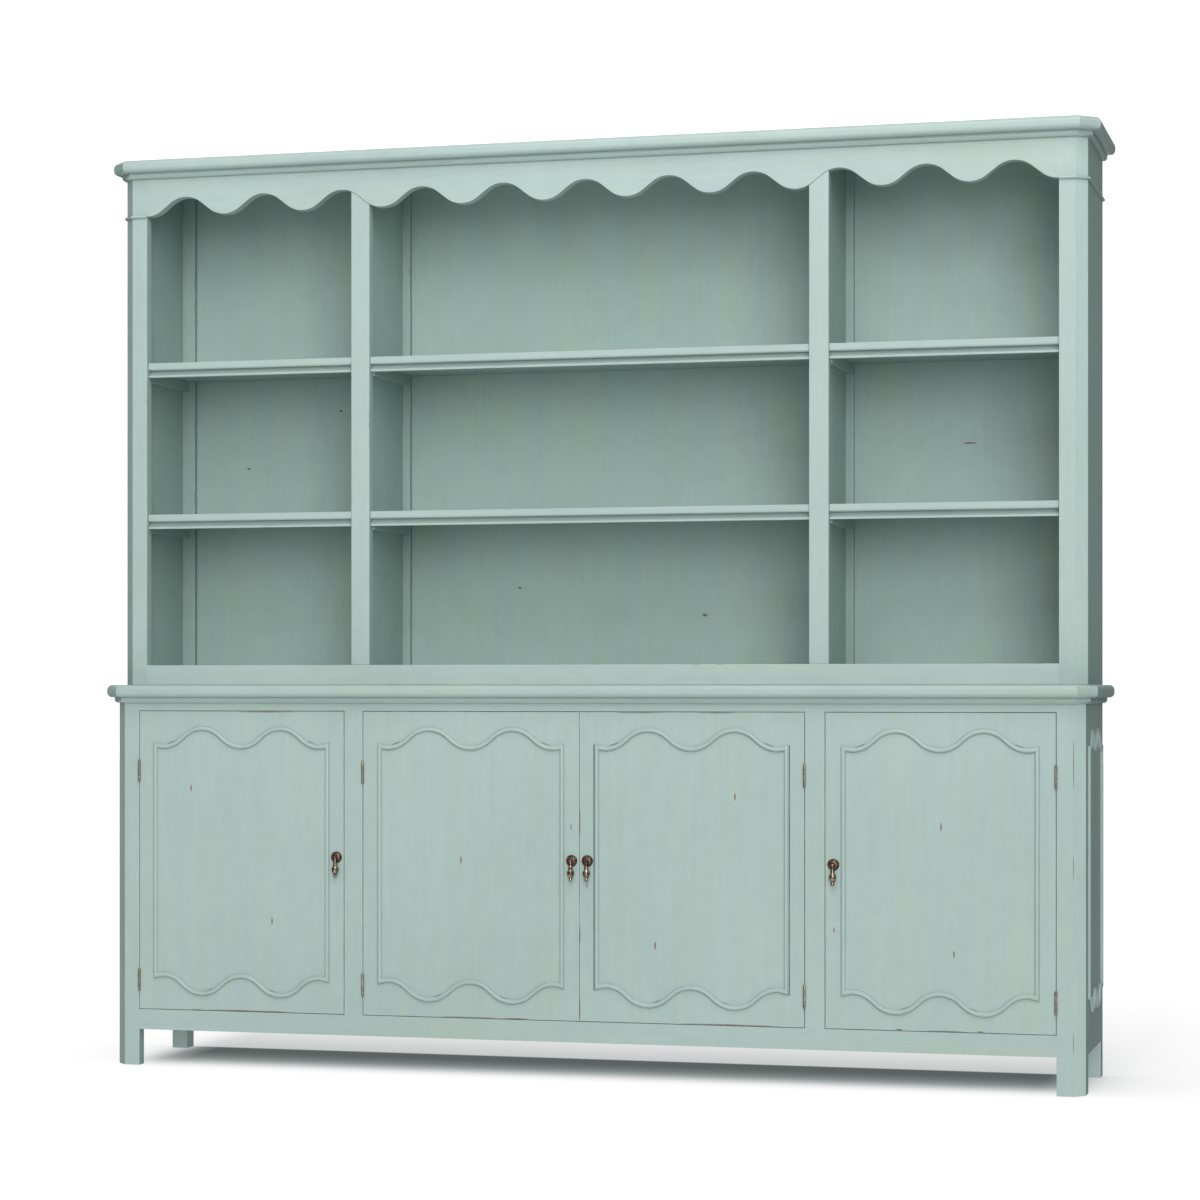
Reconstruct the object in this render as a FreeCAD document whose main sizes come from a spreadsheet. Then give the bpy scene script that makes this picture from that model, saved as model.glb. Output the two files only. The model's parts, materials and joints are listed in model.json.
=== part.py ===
import FreeCAD, Part
import Sketcher
import math
import os
from types import SimpleNamespace
from FreeCAD import Rotation, Vector

# Open-fronted hutch: a four-door base cabinet that carries an open rack of three bays.
# Millimetres. +Z is up, +Y points to the wall behind, and the origin lies on the floor
# under the middle of the box that the waist board and the cornice span.

DRIVING_SIZES = {
    # Whole piece
    "carcass_width": 2342,
    "carcass_depth": 396,
    "overall_height": 2200,
    "waist_height": 922,
    "hutch_setback": 46,
    "corner_cant": 25,
    "cant_angle": 45,
    # Face frames and boards
    "face_thickness": 28,
    "post_width": 63,
    "mullion_width": 46,
    "mullion_setback": 2,
    "side_bay_width": 527,
    "board_thickness": 18,
    "hutch_side_thickness": 35,
    "back_panel_thickness": 12,
    "back_rail_height": 70,
    # Base cabinet
    "foot_height": 87,
    "leg_wing_depth": 76,
    "back_leg_width": 40,
    "back_leg_depth": 44,
    "bottom_rail_height": 49,
    "top_rail_height": 32,
    "side_panel_thickness": 14,
    "base_shelf_setback": 22,
    # Waist board, cornice board and the fillets under them
    "top_board_thickness": 30,
    "top_board_round": 12,
    "waist_proud": 28,
    "cornice_proud": 30,
    "fillet_height": 13,
    "fillet_proud": 11,
    "fillet_chamfer": 5,
    # Rack
    "hutch_bottom_rail_height": 48,
    "shelf_front_setback": 8,
    "nosing_height": 17,
    "nosing_thickness": 16,
    "nosing_setback": 2,
    "nosing_hollow": 5,
    "nosing_toe": 4,
    "cleat_height": 25,
    "cleat_thickness": 18,
    "batten_thickness": 17,
    "side_batten_width": 33,
    "divider_batten_width": 20,
    # Scalloped valance and the bead at its foot
    "valance_drop": 105,
    "valance_arches": 11,
    "arch_rise": 44.5,
    "bead_height": 7,
    "bead_proud": 5.5,
    "bead_chamfer": 2,
    # Doors and the scalloped mouldings
    "door_gap": 2,
    "door_thickness": 25,
    "door_panel_thickness": 14,
    "panel_float": 0.4,
    "moulding_inset": 33,
    "moulding_width": 16,
    "moulding_height": 6,
    "moulding_splay": 35,
    "moulding_humps": 2,
    "door_moulding_cuts": 3,
    "side_moulding_cuts": 2,
    "rail_cuts": 1,
    "shoulder_flat": 12,
    "scallop_rise": 44,
    # Butt hinges
    "hinge_length": 55,
    "hinge_top_drop": 146,
    "hinge_bottom_rise": 72,
    "hinge_knuckles": 3,
    "knuckle_sides": 8,
    "knuckle_radius": 3,
    "knuckle_stand": 3.1,
    "knuckle_play": 0.2,
    "leaf_width": 20,
    "leaf_play": 0.3,
    "hinge_pin_radius": 1.3,
    "pin_clearance": 0.06,
    # Drop pulls
    "pull_edge_inset": 18,
    "rosette_sides": 16,
    "rosette_radius": 14,
    "rosette_rim": 1.6,
    "rosette_dome_radius": 10,
    "rosette_dome": 3,
    "shank_sides": 8,
    "shank_radius": 2,
    "shank_clearance": 0.2,
    "shank_tail": 6,
    "nut_sides": 6,
    "nut_radius": 4.6,
    "nut_height": 3.2,
    "pivot_stand": 9.4,
    "eye_radius": 2.6,
    "eye_width": 3.4,
    "ear_thickness": 1.6,
    "ear_play": 0.3,
    "pull_pin_radius": 0.9,
    "drop_length": 48,
    "drop_radius": 8,
    "drop_stem_radius": 1.7,
    "drop_collar_radius": 4.2,
    "drop_waist_radius": 1.4,
    "drop_tip_radius": 2.2,
    "drop_point_radius": 0.8,
    "drop_flats": 5,
    # Door catches
    "catch_width": 30,
    "catch_depth": 16,
    "catch_reach": 14,
    "catch_inset": 60,
    "catch_nose_radius": 4,
    "catch_play": 0.3,
    # Length by which a cutting shape runs past what it cuts
    "overrun": 5,
}

# How far up its opening each shelf's top, and each pull, stands
LOWER_SHELF_SHARE = 0.3067
UPPER_SHELF_SHARE = 0.615
BASE_SHELF_SHARE = 0.5
PULL_SHARE = 0.518
# How steep a scalloped line is, as a share of the slope that arcs alone would have
ARCH_SLOPE_SHARE = 0.797
DOOR_SLOPE_SHARE = 0.873
SIDE_SLOPE_SHARE = 0.744

# Heights of the drop's outline below its pivot, as shares of its whole length
DROP_STEM_SHARE = 0.25
DROP_COLLAR_SHARE = 0.33
DROP_BELLY_SHARE = 0.6
DROP_WAIST_SHARE = 0.88
DROP_TIP_SHARE = 0.95


class Size:
    """A length, as the formula that the document holds and the number that it gives."""

    def __init__(self, formula, value):
        self.formula = formula
        self.value = value

    def joined(self, sign, other, value):
        return Size("(" + self.formula + sign + formula_of(other) + ")", value)

    def __add__(self, other):
        return self.joined(" + ", other, self.value + value_of(other))

    def __sub__(self, other):
        return self.joined(" - ", other, self.value - value_of(other))

    def __mul__(self, other):
        return self.joined(" * ", other, self.value * value_of(other))

    def __truediv__(self, other):
        return self.joined(" / ", other, self.value / value_of(other))

    def __rsub__(self, other):
        return Size("(" + formula_of(other) + " - " + self.formula + ")", value_of(other) - self.value)

    def __neg__(self):
        return Size("(-1 * " + self.formula + ")", -self.value)

    __radd__ = __add__
    __rmul__ = __mul__


def formula_of(item):
    return item.formula if isinstance(item, Size) else repr(item)


def value_of(item):
    return item.value if isinstance(item, Size) else item


def sine(angle):
    return Size("sin(" + angle.formula + ")", math.sin(math.radians(angle.value)))


def cosine(angle):
    return Size("cos(" + angle.formula + ")", math.cos(math.radians(angle.value)))


def tangent(angle):
    return Size("tan(" + angle.formula + ")", math.tan(math.radians(angle.value)))


def arctangent(ratio):
    return Size("atan(" + ratio.formula + ")", math.degrees(math.atan(ratio.value)))


# The document and its two sheets: the driving sizes, and what is worked out from them

os.makedirs("parts", exist_ok=True)
doc = FreeCAD.newDocument("open_fronted_hutch")
driving_sheet = doc.addObject("Spreadsheet::Sheet", "Sizes")
worked_sheet = doc.addObject("Spreadsheet::Sheet", "Worked")
worked_names = []


def driving_size(row, name, value):
    driving_sheet.set("A%d" % row, name)
    driving_sheet.set("B%d" % row, str(value))
    driving_sheet.setAlias("B%d" % row, name)
    return Size("Sizes." + name, value)


def worked(name, size):
    """Keeps a size that is worked out from others under a name of its own."""
    worked_names.append(name)
    row = len(worked_names)
    worked_sheet.set("A%d" % row, name)
    worked_sheet.set("B%d" % row, "=" + size.formula)
    worked_sheet.setAlias("B%d" % row, name)
    return Size("Worked." + name, size.value)


s = SimpleNamespace(**{
    name: driving_size(row, name, value)
    for row, (name, value) in enumerate(DRIVING_SIZES.items(), start=1)
})
doc.recompute()

ZERO = Size("0", 0)
MOULDING_HUMPS = int(s.moulding_humps.value)
DOOR_MOULDING_CUTS = int(s.door_moulding_cuts.value)
SIDE_MOULDING_CUTS = int(s.side_moulding_cuts.value)
RAIL_CUTS = int(s.rail_cuts.value)
VALANCE_ARCHES = int(s.valance_arches.value)
HINGE_KNUCKLES = int(s.hinge_knuckles.value)
DROP_FLATS = int(s.drop_flats.value)
UPRIGHT = Vector(0, 0, 1)
SIDEWAYS = Vector(1, 0, 0)
INWARD = Vector(0, 1, 0)

# Planes and levels that the pieces share

half_width = worked("half_width", s.carcass_width / 2)
front = worked("front", (s.waist_proud - s.carcass_depth) / 2)
back = worked("back", front + s.carcass_depth)
frame_back = worked("frame_back", front + s.face_thickness)
hutch_front = worked("hutch_front", front + s.hutch_setback)
hutch_frame_back = worked("hutch_frame_back", hutch_front + s.face_thickness)
panel_front = worked("panel_front", back - s.back_leg_depth)
panel_back = worked("panel_back", panel_front + s.back_panel_thickness)
post_inner = worked("post_inner", half_width - s.post_width)
mullion_outer = worked("mullion_outer", post_inner - s.side_bay_width)
mullion_inner = worked("mullion_inner", mullion_outer - s.mullion_width)
divider_outer = worked("divider_outer", (mullion_outer + mullion_inner + s.board_thickness) / 2)
divider_inner = worked("divider_inner", divider_outer - s.board_thickness)
wing_inner = worked("wing_inner", half_width - s.face_thickness)
hutch_side_inner = worked("hutch_side_inner", half_width - s.hutch_side_thickness)
back_leg_inner = worked("back_leg_inner", half_width - s.back_leg_width)
waist_board_bottom = worked("waist_board_bottom", s.waist_height - s.top_board_thickness)
cornice_board_bottom = worked("cornice_board_bottom", s.overall_height - s.top_board_thickness)
opening_bottom = worked("opening_bottom", s.foot_height + s.bottom_rail_height)
opening_top = worked("opening_top", waist_board_bottom - s.top_rail_height)
hutch_floor = worked("hutch_floor", s.waist_height + s.hutch_bottom_rail_height)
rack_opening = worked("rack_opening", cornice_board_bottom - hutch_floor)
lower_shelf = worked("lower_shelf", hutch_floor + rack_opening * LOWER_SHELF_SHARE)
upper_shelf = worked("upper_shelf", hutch_floor + rack_opening * UPPER_SHELF_SHARE)
base_opening = worked("base_opening", opening_top - opening_bottom)
base_shelf = worked("base_shelf", opening_bottom + base_opening * BASE_SHELF_SHARE)
pull_level = worked("pull_level", opening_bottom + base_opening * PULL_SHARE)
valance_foot = worked("valance_foot", cornice_board_bottom - s.valance_drop)
batten_front = worked("batten_front", panel_front - s.batten_thickness)
mitre_share = worked("mitre_share", tangent(s.cant_angle / 2))

# Small helpers: binding, placing, grouping and mirroring

nodes = []


def bind(item, name, size):
    item.setExpression(name, size.formula)


def place(item, x, y, z):
    bind(item, ".Placement.Base.x", x)
    bind(item, ".Placement.Base.y", y)
    bind(item, ".Placement.Base.z", z)
    return item


def board(name, low, high):
    """A squared board between two opposite corners."""
    box = doc.addObject("Part::Box", name)
    bind(box, "Length", high[0] - low[0])
    bind(box, "Width", high[1] - low[1])
    bind(box, "Height", high[2] - low[2])
    return place(box, *low)


def rod(name, radius, length, axis):
    """A round bar that starts at the origin and runs along the given axis."""
    cylinder = doc.addObject("Part::Cylinder", name)
    bind(cylinder, "Radius", radius)
    bind(cylinder, "Height", length)
    cylinder.Placement.Rotation = Rotation(UPRIGHT, axis)
    return cylinder


def sided_rod(name, sides, radius, length, axis):
    """A bar with flat sides that starts at the origin and runs along the given axis."""
    prism = doc.addObject("Part::Prism", name)
    bind(prism, "Polygon", sides)
    bind(prism, "Circumradius", radius)
    bind(prism, "Height", length)
    prism.Placement.Rotation = Rotation(UPRIGHT, axis)
    return prism


def mirrored(item):
    """The same piece on the other side of the middle of the hutch."""
    other = doc.addObject("Part::Mirroring", item.Name + "_mirrored")
    other.Source = item
    other.Base = Vector(0, 0, 0)
    other.Normal = Vector(1, 0, 0)
    return other


def both_sides(item):
    return [item, mirrored(item)]


def fused(name, pieces):
    union = doc.addObject("Part::MultiFuse", name)
    union.Shapes = pieces
    union.Refine = True
    return union


def cut(name, piece, tool):
    difference = doc.addObject("Part::Cut", name)
    difference.Base = piece
    difference.Tool = tool
    difference.Refine = True
    return difference


def copy_at(name, piece, x, y, z):
    """One more of a piece that is modelled once at the origin."""
    link = doc.addObject("App::Link", name)
    link.LinkedObject = piece
    return place(link, x, y, z)


def node(label, pieces):
    """Names one sub-part; several like pieces stay separate solids in it."""
    item = pieces[0]
    if len(pieces) > 1 or item.TypeId == "App::Link":
        item = doc.addObject("Part::Compound", label + "_pieces")
        item.Links = pieces
    item.Label = label
    nodes.append((item, len(pieces)))
    return item


def mirrored_node(label, source, count):
    item = mirrored(source)
    item.Label = label
    nodes.append((item, count))
    return item


# Outlines: each run is the point that it arrives at, and for an arc its radius and turn

def line_to(x, y):
    return SimpleNamespace(x=x, y=y, radius=None, turn=1)


def arc_to(x, y, radius, turn):
    return SimpleNamespace(x=x, y=y, radius=radius, turn=turn)


def chord_to(x, y, radius, turn):
    """The straight cut that stands in for an arc with this radius and turn."""
    return line_to(x, y)


def arc_between(begin, end, radius, turn):
    """The shorter arc between two points; a turn of 1 runs anticlockwise, -1 clockwise."""
    chord = end - begin
    rise = math.sqrt(radius ** 2 - (chord.Length / 2) ** 2)
    side = Vector(-chord.y, chord.x, 0).normalize() * rise * turn
    centre = (begin + end) / 2 + side
    first, last = (begin, end) if turn > 0 else (end, begin)
    low = math.atan2(first.y - centre.y, first.x - centre.x)
    high = math.atan2(last.y - centre.y, last.x - centre.x)
    if high < low:
        high += 2 * math.pi
    return Part.ArcOfCircle(Part.Circle(centre, Vector(0, 0, 1), radius), low, high)


def draw_outline(sketch, runs):
    """Draws a closed outline and ties each of its corners and radii to its formula."""
    base = sketch.GeometryCount
    points = [Vector(run.x.value, run.y.value, 0) for run in runs]
    shapes = []
    for index, run in enumerate(runs):
        begin = points[index - 1]
        if run.radius is None:
            shapes.append(Part.LineSegment(begin, points[index]))
        else:
            shapes.append(arc_between(begin, points[index], run.radius.value, run.turn))
    sketch.addGeometry(shapes)
    constraints = []
    sizes = []
    for index, run in enumerate(runs):
        end = 2 if run.turn > 0 else 1
        following = (index + 1) % len(runs)
        start = 1 if runs[following].turn > 0 else 2
        here = base + index
        constraints.append(Sketcher.Constraint("Coincident", here, end, base + following, start))
        sizes.append(None)
        constraints.append(Sketcher.Constraint("DistanceX", -1, 1, here, end, run.x.value))
        sizes.append(run.x)
        constraints.append(Sketcher.Constraint("DistanceY", -1, 1, here, end, run.y.value))
        sizes.append(run.y)
        if run.radius is not None:
            constraints.append(Sketcher.Constraint("Radius", here, run.radius.value))
            sizes.append(run.radius)
    numbers = sketch.addConstraint(constraints)
    for number, size in zip(numbers, sizes):
        if size is not None:
            bind(sketch, "Constraints[%d]" % number, size)


def draw_circle(sketch, x, y, radius):
    centre = Vector(x.value, y.value, 0)
    circle = sketch.addGeometry(Part.Circle(centre, UPRIGHT, radius.value))
    numbers = sketch.addConstraint([
        Sketcher.Constraint("DistanceX", -1, 1, circle, 3, x.value),
        Sketcher.Constraint("DistanceY", -1, 1, circle, 3, y.value),
        Sketcher.Constraint("Radius", circle, radius.value),
    ])
    for number, size in zip(numbers, (x, y, radius)):
        bind(sketch, "Constraints[%d]" % number, size)


def new_body(name):
    return doc.addObject("PartDesign::Body", name)


def new_sketch(body, role):
    sketch = body.newObject("Sketcher::SketchObject", body.Name + "_outline")
    plane = next(item for item in body.Origin.OriginFeatures if item.Role == role)
    sketch.AttachmentSupport = [(plane, "")]
    sketch.MapMode = "FlatFace"
    return sketch


def padded(name, role, runs, thickness, reverse=False, circles=()):
    """A body that is one outline on an origin plane, padded along the plane's normal."""
    body = new_body(name)
    sketch = new_sketch(body, role)
    draw_outline(sketch, runs)
    for circle in circles:
        draw_circle(sketch, *circle)
    pad = body.newObject("PartDesign::Pad", name + "_pad")
    pad.Profile = sketch
    pad.Reversed = reverse
    bind(pad, "Length", thickness)
    return body


def dressed(body, kind, size_name, size, chosen):
    """Rounds or chamfers the chosen edges of a body."""
    doc.recompute()
    base = body.Tip
    edges = enumerate(base.Shape.Edges, start=1)
    names = ["Edge%d" % number for number, edge in edges if chosen(edge)]
    dressing = body.newObject("PartDesign::" + kind, body.Name + "_edges")
    dressing.Base = (base, names)
    bind(dressing, size_name, size)
    return body


def rounded(body, radius, chosen):
    return dressed(body, "Fillet", "Radius", radius, chosen)


def chamfered(body, size, chosen):
    return dressed(body, "Chamfer", "Size", size, chosen)


def level(edge, z):
    """Whether an edge lies in the level plane at this height."""
    box = edge.BoundBox
    return abs(box.ZMin - z) < 1e-4 and abs(box.ZMax - z) < 1e-4


# The wavy line of the valance and of the scalloped mouldings

def scallop_form(name, pitch, rise, slope_share):
    """Equal arcs joined by straight runs, hollow to hump and back.

    Arcs alone would meet at their steepest slope. A share of it leaves room for the runs.
    """
    form = SimpleNamespace(name=name, pitch=worked(name + "_pitch", pitch), rise=rise, shares={})
    steepest = arctangent(2 * rise / form.pitch) * 2
    form.slope = worked(name + "_slope", steepest * slope_share)
    end_sine, end_cosine = arc_shares(form, 1)[-1]
    reach = form.pitch / 4 * end_sine - rise / 2 * end_cosine
    form.radius = worked(name + "_radius", reach / (1 - end_cosine))
    return form


def arc_shares(form, cuts):
    """The sine and cosine at the end of each of the equal cuts that make up a half arc."""
    if cuts not in form.shares:
        form.shares[cuts] = [
            (
                worked("%s_sine_%d_of_%d" % (form.name, cut, cuts), sine(form.slope * cut / cuts)),
                worked("%s_cosine_%d_of_%d" % (form.name, cut, cuts), cosine(form.slope * cut / cuts)),
            )
            for cut in range(1, cuts + 1)
        ]
    return form.shares[cuts]


def scallop_runs(form, humps, travel, shoulder, up, spread, cuts=0):
    """A row of humps about the middle, from the middle of one end hollow to the other.

    travel is 1 to the right and -1 to the left, up is the way that the humps point, and
    spread moves the line that far towards the humps. With cuts, each half arc is sawn in
    that many straight cuts; without, it is a true arc.
    """
    hollow = form.radius - spread
    hump = form.radius + spread
    outward = arc_shares(form, max(cuts, 1))
    inward = outward[-2::-1] + [(0, 1)]
    end = outward[-1:]

    def in_hollow(middle, side, shares, bend):
        return [
            bend(middle + side * (hollow * across), shoulder + up * (form.radius - hollow * along),
                 hollow, travel * up)
            for across, along in shares
        ]

    def on_hump(middle, side, shares, bend):
        return [
            bend(middle + side * (hump * across),
                 shoulder + up * (form.rise - form.radius + hump * along), hump, -travel * up)
            for across, along in shares
        ]

    curve = chord_to if cuts else arc_to
    begin = travel * form.pitch * (-humps / 2)
    runs = [line_to(begin, shoulder + up * spread)]
    for number in range(humps):
        here = begin + travel * form.pitch * number
        crest = here + travel * form.pitch / 2
        far = here + travel * form.pitch
        runs += in_hollow(here, travel, outward, curve)
        runs += on_hump(crest, -travel, end, chord_to)
        runs += on_hump(crest, -travel, inward, curve)
        runs += on_hump(crest, travel, outward, curve)
        runs += in_hollow(far, -travel, end, chord_to)
        runs += in_hollow(far, -travel, inward, curve)
    return runs


def scalloped_ring(form, half, low, high, spread, cuts):
    """The closed line round a panel, wavy at the bottom and the top."""
    side = half + spread
    runs = [line_to(-side, low - spread)]
    runs += scallop_runs(form, MOULDING_HUMPS, 1, low, -1, spread, cuts)
    runs += [line_to(side, low - spread), line_to(side, high + spread)]
    runs += scallop_runs(form, MOULDING_HUMPS, -1, high, 1, spread, cuts)
    runs.append(line_to(-side, high + spread))
    return runs


def sawn_rail(form, half, shoulder, edge, up):
    """A rail whose inner edge follows the humps, and whose outer edge is straight."""
    runs = [line_to(-half * up, shoulder)]
    runs += scallop_runs(form, MOULDING_HUMPS, up, shoulder, up, ZERO, RAIL_CUTS)
    runs += [line_to(half * up, shoulder), line_to(half * up, edge), line_to(-half * up, edge)]
    return runs


door_bottom = worked("door_bottom", opening_bottom + s.door_gap)
door_top = worked("door_top", opening_top - s.door_gap)
centre_inset = worked("centre_inset", s.moulding_inset + s.moulding_width / 2)
low_shoulder = worked("low_shoulder", door_bottom + centre_inset + s.scallop_rise)
high_shoulder = worked("high_shoulder", door_top - centre_inset - s.scallop_rise)
moulding_spread = worked("moulding_spread", s.moulding_width / 2)


def ring_moulding(name, role, form, half, cuts):
    """A raised moulding that frames a panel, with both of its sides splayed."""
    body = new_body(name)
    for kind, spread, splay in (
        ("Pad", moulding_spread, -s.moulding_splay),
        ("Pocket", -moulding_spread, s.moulding_splay),
    ):
        sketch = new_sketch(body, role)
        ring = scalloped_ring(form, half, low_shoulder, high_shoulder, spread, cuts)
        draw_outline(sketch, ring)
        feature = body.newObject("PartDesign::" + kind, name + "_" + kind.lower())
        feature.Profile = sketch
        feature.Reversed = kind == "Pocket"
        bind(feature, "Length", s.moulding_height)
        bind(feature, "TaperAngle", splay)
    return body


# Base cabinet: legs, face frame, framed sides and what closes it

def post_outline(width, thickness):
    """A square board stood on end with its outer front corner canted."""
    return [
        line_to(-width, ZERO),
        line_to(-s.corner_cant, ZERO),
        line_to(ZERO, s.corner_cant),
        line_to(ZERO, thickness),
        line_to(-width, thickness),
    ]


leg_outline = [
    line_to(-s.post_width, ZERO),
    line_to(-s.corner_cant, ZERO),
    line_to(ZERO, s.corner_cant),
    line_to(ZERO, s.leg_wing_depth),
    line_to(-s.face_thickness, s.leg_wing_depth),
    line_to(-s.face_thickness, s.face_thickness),
    line_to(-s.post_width, s.face_thickness),
]
front_leg = padded("front_leg", "XY_Plane", leg_outline, waist_board_bottom)
place(front_leg, half_width, front, ZERO)
node("base_front_posts", both_sides(front_leg))

back_leg = board(
    "back_leg", (back_leg_inner, panel_front, ZERO), (half_width, back, waist_board_bottom)
)
node("base_back_legs", both_sides(back_leg))

base_mullion = board(
    "base_mullion", (mullion_inner, front, opening_bottom), (mullion_outer, frame_back, opening_top)
)
node("base_mullions", both_sides(base_mullion))

node("base_top_rail", [board(
    "top_rail", (-post_inner, front, opening_top), (post_inner, frame_back, waist_board_bottom)
)])
node("base_bottom_rail", [board(
    "bottom_rail", (-post_inner, front, s.foot_height), (post_inner, frame_back, opening_bottom)
)])
node("base_back_rails", [
    board(
        "back_rail_low",
        (-back_leg_inner, panel_back, s.foot_height),
        (back_leg_inner, back, s.foot_height + s.back_rail_height),
    ),
    board(
        "back_rail_high",
        (-back_leg_inner, panel_back, waist_board_bottom - s.back_rail_height),
        (back_leg_inner, back, waist_board_bottom),
    ),
])

side_half = worked("side_half", (s.carcass_depth - s.back_leg_depth - s.leg_wing_depth) / 2)
side_middle = worked("side_middle", front + s.leg_wing_depth + side_half)
side_pitch = (side_half - s.shoulder_flat) * 2 / s.moulding_humps
side_form = scallop_form("side_scallop", side_pitch, s.scallop_rise, SIDE_SLOPE_SHARE)
side_top_rail = padded(
    "side_top_rail", "YZ_Plane",
    sawn_rail(side_form, side_half, high_shoulder, waist_board_bottom, 1),
    s.face_thickness, reverse=True,
)
side_bottom_rail = padded(
    "side_bottom_rail", "YZ_Plane",
    sawn_rail(side_form, side_half, low_shoulder, s.foot_height, -1),
    s.face_thickness, reverse=True,
)
side_panel = padded(
    "side_panel", "YZ_Plane",
    scalloped_ring(side_form, side_half, low_shoulder, high_shoulder, -s.panel_float, RAIL_CUTS),
    s.side_panel_thickness, reverse=True,
)
side_moulding = ring_moulding(
    "side_moulding", "YZ_Plane", side_form, side_half, SIDE_MOULDING_CUTS
)
for side_piece in (side_top_rail, side_bottom_rail, side_panel, side_moulding):
    place(side_piece, half_width, side_middle, ZERO)
node("base_side_rails", both_sides(side_top_rail) + both_sides(side_bottom_rail))
node("base_side_panels", both_sides(side_panel))
node("base_side_mouldings", both_sides(side_moulding))

node("base_floor_board", [board(
    "floor_board",
    (-wing_inner, frame_back, opening_bottom - s.board_thickness),
    (wing_inner, panel_front, opening_bottom),
)])
node("base_back_panel", [board(
    "base_back", (-back_leg_inner, panel_front, s.foot_height),
    (back_leg_inner, panel_back, waist_board_bottom),
)])
base_partition = board(
    "base_partition", (divider_inner, frame_back, opening_bottom),
    (divider_outer, panel_front, waist_board_bottom),
)
node("base_partitions", both_sides(base_partition))

shelf_front = frame_back + s.base_shelf_setback
shelf_bottom = base_shelf - s.board_thickness
side_bay_shelf = board(
    "side_bay_shelf", (divider_outer, shelf_front, shelf_bottom), (wing_inner, panel_front, base_shelf)
)
middle_bay_shelf = board(
    "middle_bay_shelf", (-divider_inner, shelf_front, shelf_bottom),
    (divider_inner, panel_front, base_shelf),
)
node("base_shelves", both_sides(side_bay_shelf) + [middle_bay_shelf])


def cleat(name, inner, outer, near, far, shelf_top):
    """A bearer screwed to an upright under the end of a shelf."""
    top = shelf_top - s.board_thickness
    return board(name, (inner, near, top - s.cleat_height), (outer, far, top))


base_cleats = [
    cleat("base_cleat_side", wing_inner - s.cleat_thickness, wing_inner, shelf_front, panel_front,
          base_shelf),
    cleat("base_cleat_outer", divider_outer, divider_outer + s.cleat_thickness, shelf_front,
          panel_front, base_shelf),
    cleat("base_cleat_inner", divider_inner - s.cleat_thickness, divider_inner, shelf_front,
          panel_front, base_shelf),
]
node("base_shelf_cleats", [piece for item in base_cleats for piece in both_sides(item)])

# Waist board and cornice board with a fillet under each


def plan_points(face, spread):
    """The right-hand half of the plan round a carcass, from the front to the back plane."""
    mitre = spread * mitre_share
    return [
        (half_width - s.corner_cant + mitre, face - spread),
        (half_width + spread, face + s.corner_cant - mitre),
        (half_width + spread, back),
    ]


def plan_outline(face, spread):
    right = plan_points(face, spread)
    left = [(-x, y) for x, y in reversed(right)]
    return [line_to(x, y) for x, y in right + left]


def band_outline(face, spread):
    """A strip that wraps the front, the cants and both sides of a carcass."""
    outside = plan_points(face, spread)
    inside = plan_points(face, ZERO)
    outer_path = [(-x, y) for x, y in reversed(outside)] + outside
    inner_path = list(reversed(inside)) + [(-x, y) for x, y in inside]
    return [line_to(x, y) for x, y in outer_path + inner_path]


def proud_edges(face, heights):
    """Picks the level edges at these heights that stand proud of the carcass."""
    def chosen(edge):
        ends = [vertex.Point for vertex in edge.Vertexes]
        outside = all(
            abs(end.x) > half_width.value + 1e-3 or end.y < face.value - 1e-3 for end in ends
        )
        at_back = all(abs(end.y - back.value) < 1e-3 for end in ends)
        return outside and not at_back and any(level(edge, height.value) for height in heights)
    return chosen


def moulded_board(name, face, spread, bottom):
    body = padded(name, "XY_Plane", plan_outline(face, spread), s.top_board_thickness)
    rounded(body, s.top_board_round, proud_edges(face, (ZERO, s.top_board_thickness)))
    return place(body, ZERO, ZERO, bottom)


def fillet_band(name, face, top):
    body = padded(name, "XY_Plane", band_outline(face, s.fillet_proud), s.fillet_height)
    chamfered(body, s.fillet_chamfer, proud_edges(face, (ZERO,)))
    return place(body, ZERO, ZERO, top - s.fillet_height)


node("waist_fillet", [fillet_band("waist_band", front, waist_board_bottom)])
node("waist_board", [moulded_board("waist_top", front, s.waist_proud, waist_board_bottom)])
node("cornice_fillet", [fillet_band("cornice_band", hutch_front, cornice_board_bottom)])
node("cornice_board", [
    moulded_board("cornice_top", hutch_front, s.cornice_proud, cornice_board_bottom)
])

# Rack: posts, sides, valance, mullions and dividers

rack_height = cornice_board_bottom - s.waist_height
hutch_post = padded(
    "hutch_post", "XY_Plane", post_outline(s.post_width, s.face_thickness), rack_height
)
place(hutch_post, half_width, hutch_front, s.waist_height)
node("hutch_posts", both_sides(hutch_post))

hutch_side = board(
    "hutch_side", (hutch_side_inner, hutch_frame_back, s.waist_height),
    (half_width, back, cornice_board_bottom),
)
node("hutch_sides", both_sides(hutch_side))

node("hutch_bottom_rail", [board(
    "hutch_rail", (-post_inner, hutch_front, s.waist_height),
    (post_inner, hutch_frame_back, hutch_floor),
)])

arch_pitch = 2 * post_inner / s.valance_arches
arch_form = scallop_form("arch", arch_pitch, s.arch_rise, ARCH_SLOPE_SHARE)
valance_runs = scallop_runs(arch_form, VALANCE_ARCHES, 1, ZERO, 1, ZERO)
valance_runs += [line_to(post_inner, s.valance_drop), line_to(-post_inner, s.valance_drop)]
valance = padded("valance", "XZ_Plane", valance_runs, s.face_thickness, reverse=True)
place(valance, ZERO, hutch_front, valance_foot)
node("hutch_valance", [valance])

mullion_blank = board(
    "mullion_blank",
    (mullion_inner, hutch_front + s.mullion_setback, hutch_floor),
    (mullion_outer, hutch_frame_back, valance_foot + s.arch_rise),
)
hutch_mullion = cut("hutch_mullion", mullion_blank, valance)
node("hutch_mullions", both_sides(hutch_mullion))

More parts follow.
